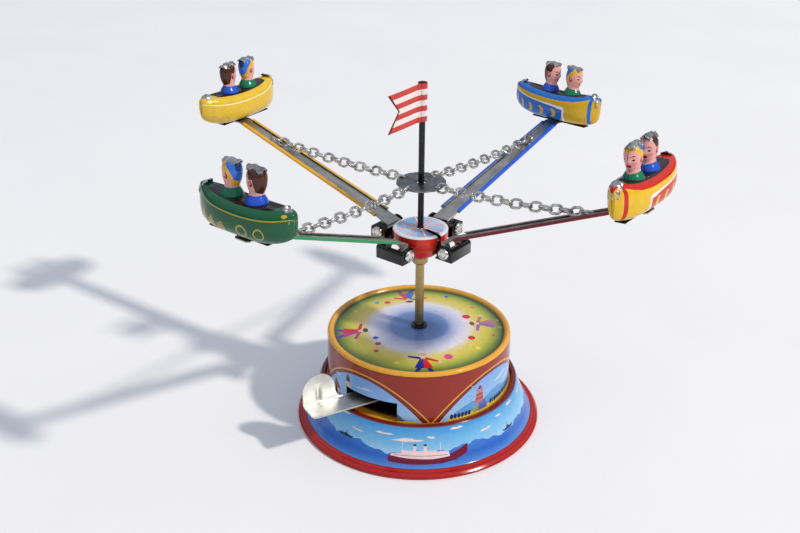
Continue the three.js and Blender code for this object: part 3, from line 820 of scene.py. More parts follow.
def steamer():
    """A liner from the side: a pale upper deck, two funnels, two masts and a raised bow at the right."""
    hull = [(-16.5, 3.2), (-16.2, 0.6), (-8, 0), (6, 0.2), (11, 1.0), (14.5, 1.9), (17.3, 3.0), (18.2, 7.0),
            (15.0, 5.6), (11, 4.1), (9.6, 3.9), (9.6, 2.9), (2, 2.3), (-8, 2.6)]
    deck = [(-15.5, 3.2), (-8, 2.6), (2, 2.3), (9.6, 2.9), (9.2, 4.9), (7, 5.4), (-4, 4.9), (-12, 4.6),
            (-15, 4.2)]
    pale = linear(232, 206, 208)
    shapes = [(hull, linear(112, 26, 52)), (deck, pale), (block(-11, 4.5, 4, 5.8), pale)]
    for x in (-5.2, -0.8):
        shapes.append((block(x - 0.6, 5.6, x + 0.6, 8.0), pale))
        shapes.append((block(x - 0.6, 7.9, x + 0.6, 8.7), linear(40, 36, 44)))
    shapes.append((streak(-8.5, 9.9, 15, 1.3, 0.4), CREAM))
    for x in (-10.5, 5.8):
        shapes.append((block(x - 0.14, 4.8, x + 0.14, 9.2), pale))
    shapes.append((block(-14, 3.5, 8.4, 3.85), linear(184, 140, 156)))
    shapes.append((block(-15.5, 0.9, 13.0, 1.2), linear(70, 20, 34)))
    return shapes


def small_boat():
    hull = [(-4.5, 0.9), (-3.6, 0), (3.2, 0), (4.6, 1.3), (2.4, 0.9)]
    dark, grey = linear(44, 52, 74), linear(60, 66, 84)
    return [(hull, dark), (block(-1.2, 0.9, 1.0, 1.7), grey), (block(-0.1, 1.6, 0.2, 3.2), dark)]


def build_skirt():
    sheet, foot, crest = skirt_sheet()
    sky, layers = skirt_art(sheet, foot, crest - foot)
    ground = (None, lambda xy: shoulder_colours(sheet, crest, xy, sky))
    red, painted_groove_shade = inked(linear(176, 28, 26), 0.84), inked(linear(104, 14, 18), 0.84)
    # thin dark red rings near the flange's foot are painted shade for its grooves, each between bands of the
    # plain red
    for first, width in ((0, 0.3), (2.0, 0.35), (4.4, 0.3)):
        layers += [(sheet.loop(foot - first), painted_groove_shade), (sheet.loop(foot - (first + width)), red)]
    patch = sheet.patch([ground, *layers], spokes=180, step=1.3, turned=True)
    sheet_piece("base_skirt_print", [patch], "base", ("base_skirt",), back=INSIDE)


def shoulder_colours(sheet, crest, xy, sky):
    """Sky on the skirt, dark red on its shoulder, then the shelf: orange, and dark brown painted shade on its
    inner edge inside the drum.
    """
    value = np.column_stack([sky(xy), np.full(len(xy), 0.62)])
    rho = radius_of(xy) - sheet.start
    value[rho > crest - 0.1] = inked(linear(112, 26, 16), 0.74)
    value[rho > sheet.along[-1] - 5.8] = inked(ORANGE, 0.66)
    # painted shade: the shelf's inner edge inside the drum is dark brown where its orange falls into shadow
    value[rho > sheet.along[-1] - 2.6] = inked(linear(64, 38, 20), 0.6)
    return value


def arch(half, height):
    """A pointed-foot arch standing on the drum's bottom edge."""
    x = np.linspace(-half, half, 40)
    curve = np.column_stack([x, height * (1 - np.abs(x / half) ** 2.1)])
    return np.concatenate([curve, [(half, -2), (-half, -2)]])


ARCH_AZIMUTHS = (-128.0, -38.0, 52.0, 142.0)


def build_drum():
    profile = np.array([(DRUM_R, DRUM_Z), (DRUM_R, DRUM_TOP)])
    sheet = Turned(profile, start=90.0, art_radius=DRUM_R)
    rise = DRUM_TOP - DRUM_Z

    def sky(xy):
        level = (radius_of(xy) - sheet.start) / rise
        stops = [(0.0, linear(158, 196, 232)), (0.5, linear(132, 176, 228)), (1.0, linear(104, 152, 218))]
        return blend(stops, level)

    layers = [(None, inked(BRICK, 0.72))]
    for number, azimuth in enumerate(ARCH_AZIMUTHS):
        layers.append((sheet.art(arch(35.3, 21.6), azimuth), ORANGE))
        layers.append((sheet.art(arch(34.4, 20.8), azimuth), linear(120, 38, 28)))
        layers.append((sheet.art(arch(31.4, 19.2), azimuth), sky))
        layers += sheet.draw(mill_scene() if number % 2 else harbour_scene(), azimuth)
    width = math.radians(WINDOW_TO - WINDOW_FROM) * DRUM_R
    window = sheet.art(block(0, -3, width, WINDOW_Z - DRUM_Z), WINDOW_FROM)
    patch = sheet.patch(layers, spokes=180, step=1.6, holes=[window], turned=True)
    sheet_piece("base_drum_print", [patch], "base", ("base_drum",), back=INSIDE)


def harbour_scene():
    """A gabled house, a lighthouse, a low shore and a small sail."""
    return [
        ([(-26, -1), (-26, 3.0), (-14, 2.4), (0, 2.9), (14, 2.2), (27, 1.6), (27, -1)],
         linear(120, 170, 214)),
        ([(8, -1), (12, 3.0), (17, 3.6), (22, 1.5), (24, -1)], linear(104, 130, 170)),
        ([(-27, -1), (-27, 1.2), (-8, 1.4), (8, 0.9), (29, 1.0), (29, -1)], linear(226, 200, 84)),
        ([(-20.5, 0.8), (-20.5, 5.5), (-15.6, 5.5), (-15.6, 0.8)], linear(222, 214, 204)),
        ([(-22.0, 5.2), (-19.4, 10.2), (-14.4, 5.2)], linear(132, 52, 44)),
        ([(-21.0, 0.8), (-20.5, 7.4), (-18.4, 7.4), (-17.9, 0.8)], linear(122, 58, 62)),
        (block(-16.9, 1.8, -16.1, 3.4), linear(70, 90, 150)),
        ([(-10.4, 1.0), (-9.7, 13.4), (-7.3, 13.4), (-6.6, 1.0)], linear(210, 192, 150)),
        (block(-9.8, 13.2, -7.2, 15.6), linear(40, 40, 66)),
        ([(-10.0, 15.6), (-8.5, 17.4), (-7.0, 15.6)], linear(120, 60, 60)),
        (block(-9.7, 8.6, -7.2, 10.2), linear(56, 52, 84)),
        (block(-9.9, 4.6, -7.0, 6.4), linear(56, 52, 84)),
        ([(19.2, 1.3), (19.4, 4.4), (22.6, 1.7)], linear(90, 96, 120)),
        ([(18.6, 1.2), (19.2, 0.6), (22.4, 0.6), (23.4, 1.4)], linear(96, 60, 60)),
        (streak(2, 13.2, 10, 1.1, 0.8), HAZE),
        (streak(12, 9.4, 7, 0.8, -0.6), HAZE),
        (streak(-17, 13.4, 6, 0.8, 0.6), HAZE),
    ]


def mill_scene():
    """A windmill on a blue-roofed house, a hedge across a yellow field, and pale hills."""
    shapes = [
        ([(-27, -1), (-24, 4.0), (-19, 6.4), (-14, 7.8), (-8, 6.2), (-2, 8.4), (4, 9.2), (10, 7.0),
          (18, 5.2), (28, -1)], linear(84, 150, 208)),
        ([(-29, -1), (-27, 1.0), (-12, 2.2), (4, 2.0), (18, 2.2), (29, 1.0), (29, -1)],
         linear(232, 206, 72)),
        ([(-13.0, 5.2), (-11.9, 12.6), (-8.3, 12.6), (-7.2, 5.2)], linear(186, 104, 100)),
        (block(-12.5, 7.4, -7.7, 8.2), linear(140, 62, 66)),
        (block(-12.1, 9.6, -8.1, 10.4), linear(140, 62, 66)),
        ([(-12.2, 12.6), (-10.1, 15.2), (-8.0, 12.6)], linear(140, 40, 40)),
        ([(-13.8, 1.0), (-13.8, 4.4), (-6.0, 4.4), (-6.0, 1.0)], linear(118, 170, 118)),
        ([(-10.6, 0.9), (-10.6, 5.4), (-6.2, 6.0), (-4.6, 0.9)], linear(96, 104, 172)),
        (block(-12.6, 1.0, -11.4, 3.2), linear(206, 120, 96)),
        ([(-16.1, 8.1), (-15.7, 7.8), (-4.4, 16.5), (-4.8, 16.8)], linear(146, 156, 200)),
        ([(-15.5, 16.3), (-15.1, 16.6), (-4.6, 7.9), (-5.0, 7.6)], linear(146, 156, 200)),
        (streak(6, 13.0, 12, 1.2, 1.6), HAZE),
        (streak(14, 9.6, 8, 0.9, 1.0), HAZE),
    ]
    for x in np.arange(-25.5, -14.5, 1.9):
        shapes.append((ellipse(x, 2.0, 0.85, 1.4), NAVY))
    for x in np.arange(-2.0, 27.0, 1.7):
        shapes.append((ellipse(x, 2.7 - 0.03 * x, 0.75, 1.5), NAVY if x % 3 < 2 else linear(60, 104, 60)))
    return shapes


def child(azimuth, coat, vest, legs, hair):
    """A plain little figure that dances with its arms out and its head towards the middle of the disc."""
    parts = [
        ([(-1.9, -4.0), (-3.2, -6.6), (-1.9, -6.9), (-0.5, -4.2)], legs),
        ([(0.7, -4.2), (1.7, -6.9), (3.1, -6.4), (2.0, -4.0)], legs),
        ([(-1.0, 0.2), (-2.9, -4.3), (0.2, -4.7), (0.2, 0.2)], coat),
        ([(1.0, 0.2), (2.9, -4.5), (0.1, -4.7), (0.1, 0.2)], vest),
        ([(-0.6, -0.1), (-4.9, 1.3), (-4.9, 2.2), (-0.6, 1.2)], coat),
        ([(0.6, -0.1), (4.7, -1.7), (5.1, -0.9), (0.8, 1.2)], vest),
        (ellipse(-5.1, 1.8, 0.6, 0.6), linear(232, 196, 180)),
        (ellipse(5.1, -1.4, 0.6, 0.6), linear(232, 196, 180)),
        (ellipse(0, 1.9, 1.2, 1.2), linear(236, 200, 188)),
        (ellipse(0, 2.5, 1.3, 0.85), hair),
    ]
    size, radius = 1.55, 30.5
    angle = math.radians(azimuth)
    x, y, turn = radius * math.cos(angle), radius * math.sin(angle), angle + math.pi / 2
    return [(dense(moved(size * np.array(points), turn, x, y)), colour) for points, colour in parts]


# azimuth, radius, size and colour
BALLOONS = (
    (-64, 31, 2.2, (222, 70, 140)), (-22, 27.5, 1.8, (206, 36, 46)), (-34, 34, 1.3, (240, 214, 60)),
    (24, 26, 2.1, (206, 46, 56)), (38, 35, 1.1, (222, 110, 110)), (66, 36, 1.2, (64, 92, 200)),
    (122, 30, 1.6, (210, 50, 70)), (130, 33, 1.4, (70, 150, 214)), (152, 36, 1.1, (230, 200, 70)),
    (-152, 24, 1.4, (60, 90, 190)), (-140, 26, 1.5, (196, 50, 140)), (-132, 31, 1.3, (206, 60, 90)),
    (-108, 35, 1.1, (236, 206, 70)), (-10, 37, 1.0, (214, 60, 60)), (84, 31, 1.2, (214, 90, 130)),
)


def build_top():
    hole = 3.4
    radii = np.linspace(hole, DISC_EDGE_R, 12)
    crown = [(r, DISC_EDGE_Z + DISC_CROWN * (1 - (r / DISC_EDGE_R) ** 2), 0) for r in radii]
    corners = [*crown, (42.3, 48.0, 0.3), (43.6, TOP_Z, 1.0), (44.8, 48.0, 0.8), (RIM_R, DISC_EDGE_Z, 0)]
    sheet = Turned(filleted(corners, closed=False), start=hole)

    def meadow(xy):
        r = radius_of(xy)
        stops = [
            (0, linear(88, 124, 188)), (14.3, linear(106, 140, 196)), (15.0, linear(150, 168, 214)),
            (19.5, linear(198, 204, 230)), (24.0, linear(226, 224, 236)), (27.5, linear(226, 208, 128)),
            (31.5, linear(216, 200, 84)), (35.0, linear(190, 188, 72)), (38.2, linear(136, 150, 58)),
            (41.2, linear(40, 80, 46)),
        ]
        return blend(stops, r)

    layers = [(None, lambda xy: rim_or_meadow(xy, meadow))]
    figures = ((-87, linear(28, 40, 140), linear(206, 26, 24), NAVY, linear(206, 180, 150)),
               (-172, linear(206, 44, 60), linear(196, 60, 140), linear(90, 60, 160), linear(96, 60, 40)),
               (8, linear(150, 100, 170), linear(176, 120, 120), linear(150, 130, 90), linear(120, 90, 60)),
               (100, linear(60, 110, 190), linear(206, 60, 80), linear(60, 70, 140), linear(110, 60, 50)))
    for azimuth, coat, vest, legs, hair in figures:
        layers += child(azimuth, coat, vest, legs, hair)
    for azimuth, radius, size, paint in BALLOONS:
        layers.append((dot(azimuth, radius, size), linear(*paint)))
    patch = sheet.patch(layers, spokes=144, step=1.5)
    sheet_piece("top_plate_print", [patch], "base", ("top_plate",), back=INSIDE)


def rim_or_meadow(xy, meadow):
    value = np.column_stack([meadow(xy), np.full(len(xy), 0.60)])
    value[radius_of(xy) > DISC_EDGE_R + 0.1] = inked(linear(226, 164, 62), 0.78)
    return value


def turned_piece(name, profile, body, material, replaces, segments):
    rigid_piece(name, turned_mesh(name, profile, segments), [material], body, replaces)


def build_base_hardware():
    turned_piece("top_bush_turned", [
        (BORE, 45.6), (3.1, 45.6, 0.1), (3.1, 49.1), (3.9, 49.1, 0.1), (3.9, 49.8, 0.25), (BORE, 49.8, 0.15),
    ], "base", BLACK, ("top_bush",), segments=48)
    turned_piece("base_cover_turned", [
        (0, 0), (8.8, 0, 0.6), (10.8, 0.9, 0.8), (47, 0.9, 0.5), (47.6, 1.2, 0.4), (49.4, 1.2, 0.4),
        (50, 0.9, 0.5), (57.8, 0.9, 0.2), (57.8, 1.5, 0.2), (10.6, 1.5, 0.8), (8.6, 0.6, 0.6), (0, 0.6),
    ], "base", TIN, ("base_cover",), segments=96)
    hidden = {
        "mechanism_plate": STEEL, "lower_bearing": BRASS, "lever_pivot": STEEL, "return_spring": NICKEL,
        "sector_gear": BRASS, "pinion": BRASS, "pawl": STEEL, "ratchet_wheel": STEEL,
    }
    for node, material in hidden.items():
        repaint(node, material)


# ---- lever --------------------------------------------------------------------------------------
def build_lever():
    """The strip with its finger tab, as one blank: the tab is folded up along the strip's far side."""
    pivot = np.array(JOINTS["lever_push"]["pos_m"][:2]) / MM
    ahead, aside = level_axes(math.radians(LEVER_AZIMUTH))
    reach = LEVER_REACH + math.sqrt(math.hypot(*pivot) ** 2 - LEVER_PASS ** 2)
    half, bend, tab = 5.6, 1.3, 16.5
    skin = LEVER_Z + 0.8
    flat_end = half - bend
    fold = flat_end + bend * math.pi / 2
    top = fold + TAB_TOP - skin - bend

    def place(xy):
        x, y = xy[:, 0], -xy[:, 1]
        angle = np.clip((y - flat_end) / bend, 0, math.pi / 2)
        beyond = np.maximum(y - fold, 0)
        across = np.minimum(y, flat_end) + bend * np.sin(angle)
        rise = skin + bend * (1 - np.cos(angle)) + beyond
        rib = np.exp(-((x - (reach - tab / 2 + 0.3)) / 1.15) ** 2)
        rib *= np.clip((y - fold + 1.5) / 3, 0, 1) * np.clip((top - 4.5 - y) / 5, 0, 1)
        dish = 0.5 * np.clip((y - fold) / 14, 0, 1) ** 2
        across = across + 0.85 * rib + dish
        crease = 0.25 * np.exp(-((y - flat_end + 1.2) / 0.9) ** 2) * np.clip((x - reach + tab) / 4, 0, 1)
        ground = pivot + np.outer(x, ahead) + np.outer(-across, aside)
        return np.column_stack([ground, rise - crease])

    hole = ellipse(0, 0, 1.8, 1.8, count=24)
    radius = tab / 2
    angles = np.linspace(0, math.pi, 22)
    crown = [(reach - radius + radius * math.cos(a), radius - top - radius * math.sin(a)) for a in angles]
    inner = reach - tab
    flare = [(inner - 0.2, -(fold + 3.0)), (inner - 1.1, -(fold + 0.6)), (inner - 2.6, -half)]
    tail = [(half * math.cos(a), half * math.sin(a)) for a in np.linspace(1.5 * math.pi, 0.5 * math.pi, 16)]
    outer = [(reach - 2.2, half), (reach - 0.6, half - 0.6), (reach, half - 2.2)]
    border = np.array([*tail, *outer, *crown, *flare])
    xs = np.concatenate([np.arange(-6, inner - 4, 3.0), np.arange(inner - 3.5, reach + 0.6, 0.6)])
    ys = -np.concatenate([np.arange(-6, 3.5, 1.4), np.arange(3.6, top + 0.7, 0.5)])[::-1]

    patch = bordered(square_grid(xs, ys), border, place, [(None, WHITE)], [hole], thickness=0.8)
    sheet_piece("lever_pressing", [patch], "lever", ("lever",), back=LEVER_TIN, front=LEVER_TIN)


# ---- rotor --------------------------------------------------------------------------------------
def build_hub():
    corners = [
        (BORE, HUB_Z - 15, 0), (4.8, HUB_Z - 15, 0.8), (9.0, HUB_Z - 12.2, 6), (12.0, HUB_Z - 7.6, 9),
        (HUB_R, HUB_Z - 3.6, 4), (HUB_R, HUB_Z - 0.8, 0),
    ]
    bowl = Turned(filleted(corners, closed=False, turn=math.radians(8)), start=12.0, art_radius=HUB_R)
    arms = [azimuth_of(arm) for arm in ARM_NAMES]
    slots = [bowl_slot(bowl, arm, 4.3, HUB_Z - 9.5, HUB_Z - 8.1) for arm in arms]
    slots.append(bowl_slot(bowl, math.radians(HUB_SLOT_AZIMUTH), 1.0, HUB_Z - 8, HUB_Z + 0.3))
    layers = [(None, inked(linear(206, 46, 30), 0.80))]
    patch = bowl.patch(layers, spokes=96, step=1.2, holes=slots, turned=True, thickness=0.45)
    sheet_piece("hub_cup_print", [patch], "rotor", ("hub_cup",), back=INSIDE)
    build_cap()


def bowl_slot(bowl, azimuth, half, z_low, z_high):
    """An upright slot in the bowl: its corners follow the bowl's radius, so its sides stay parallel."""
    heights = np.linspace(z_low, z_high, 7)
    sides = []
    for sign in (-1, 1):
        line = []
        for z in heights:
            level = extended(z, bowl.profile[:, 1], bowl.along)
            radius = extended(level, bowl.along, bowl.profile[:, 0])
            angle = azimuth + sign * math.asin(min(half / radius, 1))
            line.append(((bowl.start + level) * math.cos(angle), (bowl.start + level) * math.sin(angle)))
        sides.append(line)
    return dense(sides[0] + sides[1][::-1])


def build_cap():
    """The hub's top: blue fields between red-edged spokes, a white rim and one dark slot."""
    hole, edge = POLE_R + 0.25, 11.4
    corners = [(hole, HUB_Z, 0), (12.3, HUB_Z, 0.5), (HUB_R, HUB_Z - 0.45, 0.2), (HUB_R, HUB_Z - 0.7, 0)]
    cap = Turned(filleted(corners, closed=False), start=hole)

    def field(xy):
        angle = np.degrees(np.arctan2(xy[:, 1], xy[:, 0]))
        deep = np.exp(-((angle - HUB_SLOT_AZIMUTH) / 16) ** 2)[:, None]
        pale = 0.5 + 0.5 * np.sin(np.radians(angle * 2 + 30))[:, None]
        sky = linear(122, 168, 222) * (1 - pale) + linear(184, 206, 232) * pale
        return sky * (1 - deep) + linear(40, 56, 110) * deep

    white = inked(linear(222, 222, 226), 0.72)
    layers = [(None, white), (ellipse(0, 0, edge, edge, count=60), field)]
    for turn in range(8):
        for half, paint in ((0.75, linear(206, 104, 100)), (0.36, linear(234, 214, 212))):
            layers.append((moved(block(1.6, -half, edge, half), math.radians(12 + 45 * turn)), paint))
    slot = dense(moved(block(4.0, -1.0, 16, 1.0), math.radians(HUB_SLOT_AZIMUTH)))
    patch = cap.patch(layers, spokes=96, step=1.2, holes=[slot], thickness=0.5)
    sheet_piece("hub_cap_print", [patch], "rotor", ("hub_cap",), back=INSIDE)


def build_shafts():
    turned_piece("spindle_turned", [
        (0, SPINDLE_Z), (1.85, SPINDLE_Z, 0.4), (1.85, 35.0, 0.1), (2.15, 35.2, 0.1),
        (2.15, SPINDLE_TOP, 0.2), (0, SPINDLE_TOP),
    ], "rotor", BRASS, ("spindle",), segments=40)
    turned_piece("spindle_collar_turned", [
        (2.3, COLLAR_Z, 0.1), (3.1, COLLAR_Z, 0.3), (3.8, COLLAR_Z + 0.7, 0.4), (3.8, COLLAR_Z + 3.5, 0.3),
        (2.3, COLLAR_Z + 3.5, 0.1),
    ], "rotor", BRASS, ("spindle_collar",), segments=48)
    turned_piece("flag_pole_turned", [
        (0, SPINDLE_TOP + GAP), (POLE_R, SPINDLE_TOP + GAP, 0.2), (POLE_R, POLE_TOP, 0.5), (0, POLE_TOP),
    ], "rotor", BLACK, ("flag_pole",), segments=32)
    eased("arm_bracket", "arm_bracket_pressed", 0.16, "rotor", BLACK)
    eased("chain_disc", "chain_disc_pressed", 0.12, "rotor", DISC_TIN)


def build_flag():
    """A swallow-tailed flag of red and white stripes, rolled round the pole at its hoist."""
    notch, stripes = 6.0, 7
    ahead, aside = level_axes(math.radians(FLAG_AZIMUTH))
    roll, round_pole = POLE_R + GAP + 0.2, 1.75 * math.pi
    wrap = roll * round_pole

    def place(xy):
        x, y = xy[:, 0], xy[:, 1]
        angle = np.clip(-x / roll, 0, round_pole) + math.pi / 2
        out = np.where(x < 0, roll * np.cos(angle), x)
        wave = 0.35 * np.sin(x / 5) * (x / FLAG_LENGTH)
        sway = np.where(x < 0, roll * np.sin(angle), roll * np.maximum(1 - x / 5, 0) ** 2 + wave)
        ground = np.outer(out, ahead) + np.outer(sway, aside)
        return np.column_stack([ground, FLAG_Z + y - FLAG_DROOP * np.maximum(x, 0) / FLAG_LENGTH])

    cloth, stripe = inked(linear(236, 224, 222), 0.70), inked(linear(198, 62, 56), 0.78)
    border = np.array([(-wrap, 0), (FLAG_LENGTH, 0), (FLAG_LENGTH - notch, FLAG_HEIGHT / 2),
                       (FLAG_LENGTH, FLAG_HEIGHT), (-wrap, FLAG_HEIGHT)])
    fly = np.array([(FLAG_LENGTH - 0.5, -1), (FLAG_LENGTH + 1, -1), (FLAG_LENGTH + 1, FLAG_HEIGHT + 1),
                    (FLAG_LENGTH - 0.5, FLAG_HEIGHT + 1), (FLAG_LENGTH - notch - 0.6, FLAG_HEIGHT / 2)])
    layers = [(None, cloth)]
    band = FLAG_HEIGHT / stripes
    for number in range(0, stripes, 2):
        layers.append((block(-wrap - 1, number * band, FLAG_LENGTH + 1, (number + 1) * band), stripe))
    layers.append((fly, inked(linear(70, 24, 26), 0.72)))
    layers.append((block(-wrap - 1, 0.3, 0.3, 0.9), cloth * 0.2))
    xs = np.concatenate([np.arange(-wrap, 0, 0.35), np.arange(0, FLAG_LENGTH + 1, 1.0)])
    grid = square_grid(xs, np.linspace(0, FLAG_HEIGHT, 12))
    patch = bordered(grid, border, place, layers, thickness=0.3, both_sides=True)
    sheet_piece("flag_print", [patch], "rotor", ("flag",), back=PRINT)


def build_pins():
    """Plain pins through the clevises, each with two dished heads."""
    stem = 8.1
    head = [(1.3, 0.7, 0.2), (2.1, 1.4, 0.5), (2.7, 0.9, 0.4), (3.0, 0, 0.2), (1, 0, 0.1)]
    lower = [(0, -stem - 0.7)] + [(radius, -stem - rise, fillet) for radius, rise, fillet in head]
    upper = [(radius, stem + rise, fillet) for radius, rise, fillet in head[::-1]] + [(0, stem + 0.7)]
    for arm in ARM_NAMES:
        mesh = turned_mesh(f"hinge_pin_{arm}_turned", lower + upper, 36)
        mesh.transform(Matrix.Rotation(math.pi / 2, 4, "X"))
        mesh.transform(Matrix.Translation((PIN_R * MM, 0, PIN_Z * MM)))
        mesh.transform(Matrix.Rotation(azimuth_of(arm), 4, "Z"))
        rigid_piece(f"hinge_pin_{arm}_turned", mesh, [NICKEL], "rotor", (f"hinge_pin_{arm}",))


# ---- arms ---------------------------------------------------------------------------------------
def arm_space(arm):
    """A function from a radius, a place to the side and a height on an arm whose gondola is level, to points
    in space with the arm swung about its pin to its own slope."""
    azimuth = azimuth_of(arm)
    out = np.array([math.cos(azimuth), math.sin(azimuth), 0])
    side = np.array([-math.sin(azimuth), math.cos(azimuth), 0])
    swing = math.radians(REST_SLOPES[arm]) - LEVEL_SLOPE
    c, s = math.cos(swing), math.sin(swing)

    def to_space(radius, aside, height):
        x, z = radius - PIN_R, height - PIN_Z
        level = np.outer(PIN_R + x * c - z * s, out) + np.outer(aside, side)
        return level + np.outer(PIN_Z + x * s + z * c, [0, 0, 1.0])

    return to_space


def arm_frame(arm):
    """A function from points along, across and square to a sloping arm, from its pin, to points in space."""
    to_space = arm_space(arm)
    c, s = math.cos(LEVEL_SLOPE), math.sin(LEVEL_SLOPE)
    return lambda x, y, z: to_space(PIN_R + x * c - z * s, y, PIN_Z + x * s + z * c)


def folded(line):
    """The length of a folded section, and a function from places along it to their (across, up) points."""
    places = lengths(line)
    return places[-1], lambda s: (extended(s, places, line[:, 0]), extended(s, places, line[:, 1]))


def build_arm(arm, paint):
    """The painted channel and its level foot, grey on their backs."""
    to_space = arm_frame(arm)
    floor = ARM_PLANE - SHEET
    half, lip, wall, taper = 5.75, 1.8, 1.4, 1.2
    section = filleted([
        (-half + lip, floor + wall, 0), (-half, floor + wall, 0.6), (-half, floor, 0.7), (half, floor, 0.7),
        (half, floor + wall, 0.6), (half - lip, floor + wall, 0),
    ], closed=False, turn=math.radians(22))
    _, bent = folded(section)

    def channel(xy):
        part = (xy[:, 0] - ARM_START) / (ARM_END - ARM_START)
        across, up = bent(xy[:, 1])
        narrow = np.sign(across) * taper * part * np.clip(np.abs(across) / (half - lip), 0, 1)
        return to_space(xy[:, 0], across - narrow, up)

    ground = [(None, paint)]
    grid = square_grid(np.linspace(ARM_START, ARM_END, 24), lengths(section))
    rail = Patch(grid, lambda p: np.ones(len(p), bool), channel, ground, turned=True, thickness=0.5)
    sheet_piece(f"arm_{arm}_channel", [rail, arm_foot(arm, ground)], f"arm_{arm}",
                (f"arm_{arm}",), back=ARM_TIN)


def build_tongue(arm):
    """The arm's bare inner end, folded down at both sides into ears with holes for the hinge pin."""
    to_space = arm_frame(arm)
    ear, strip = 6.6, 4.6
    tongue_section = filleted([
        (-strip, ARM_PLANE - ear, 0), (-strip, ARM_PLANE, 0.7), (strip, ARM_PLANE, 0.7),
        (strip, ARM_PLANE - ear, 0),
    ], closed=False, turn=math.radians(22))
    span, tongue_bent = folded(tongue_section)

    def tongue(xy):
        across, up = tongue_bent(xy[:, 1])
        return to_space(xy[:, 0], across, up)

    pins = [ellipse(0, ear - ARM_PLANE, 1.3, 1.3), ellipse(0, span - (ear - ARM_PLANE), 1.3, 1.3)]
    angles = np.linspace(math.pi, 2 * math.pi, 10)
    near = [(1.85 * math.cos(a), ear - ARM_PLANE + 1.85 * math.sin(a)) for a in angles]
    far = [(x, span - y) for x, y in near[::-1]]
    rail_end = ARM_START + 0.6
    border = np.array([
        (-2.6, ear - 0.8), *near, (2.0, ear - 0.9), (rail_end, ear - 0.2), (rail_end, span - ear + 0.2),
        (2.0, span - ear + 0.9), *far, (-2.6, span - ear + 0.8),
    ])
    grid = square_grid(np.arange(-3, 8, 0.9), lengths(tongue_section))
    tab = bordered(grid, border, tongue, [(None, WHITE)], pins, thickness=0.55)
    sheet_piece(f"arm_{arm}_tongue", [tab], f"arm_{arm}", back=ARM_TIN, front=ARM_TIN)


def arm_foot(arm, ground):
    """The arm's outer end, bent level under the keel plate."""
    to_space = arm_space(arm)
    along, square, level = ARM_END - 0.4, ARM_PLANE - SHEET, HULL_Z - 1.8
    start = PIN_R + along * math.cos(LEVEL_SLOPE) - square * math.sin(LEVEL_SLOPE)
    height = PIN_Z + along * math.sin(LEVEL_SLOPE) + square * math.cos(LEVEL_SLOPE)
    turn = start + (level - height) / math.tan(LEVEL_SLOPE)
    corners = [(start, height), (turn, level, 3), (GONDOLA_R + 4, level)]
    line = filleted(corners, closed=False, turn=math.radians(4))
    reach, bent = folded(line)

    def place(xy):
        radius, height = bent(xy[:, 0])
        return to_space(radius, xy[:, 1], height)

    border = np.array([(0, -4), (reach - 1, -4), (reach, -3), (reach, 3), (reach - 1, 4), (0, 4)])
    grid = square_grid(lengths(line), np.linspace(-4, 4, 5))
    return bordered(grid, border, place, ground, turned=True, thickness=0.5)


# ---- gondolas -----------------------------------------------------------------------------------
def gondola_frame(arm):
    """A function from points towards the bow, outward and up from mid-keel, to points in space."""
    to_space = arm_space(arm)
    return lambda x, y, z: to_space(GONDOLA_R + y, -x, HULL_Z + z)


GIRTH = 24.0  # of half the hull, from keel to cockpit
UNROLLED = 31.0  # half-length of the hull's flat domain


def hull_point(xy):
    """The hull's own curve: half-width and height at a point of its flat domain."""
    share = np.clip(xy[:, 0] / UNROLLED, -0.995, 0.995)
    closing = np.clip((1 - np.abs(xy[:, 0]) / UNROLLED) / 0.02, 0, 1)
    place = np.sin(np.pi / 2 * share)
    forward = place > 0
    size = np.abs(place)
    fullness = np.sqrt(np.maximum(0, 1 - size ** np.where(forward, 4.0, 2.6)))
    rise = 1 - np.sqrt(np.maximum(0, 1 - size ** np.where(forward, 6.0, 3.4)))
    half = 1 + (BEAM_HALF - 1) * np.maximum(0, 1 - size ** 3) ** np.where(forward, 0.95, 0.80)
    bottom = np.where(forward, 5.5, 8.5) * rise
    stem_high = np.where(forward, 13.5, 12.5)
    top = stem_high + (DECK + SHEER_RISE * place ** 2 - stem_high) * fullness ** 0.4
    angle = np.pi * (xy[:, 1] / GIRTH - 0.5)
    c, s = np.cos(angle), np.sin(angle)
    across = closing * half * np.sign(c) * np.abs(c) ** 0.7
    height = (bottom + top) / 2 + (top - bottom) / 2 * np.sign(s) * np.abs(s) ** np.where(s > 0, 0.55, 0.85)
    return place * HULL_HALF, across, height


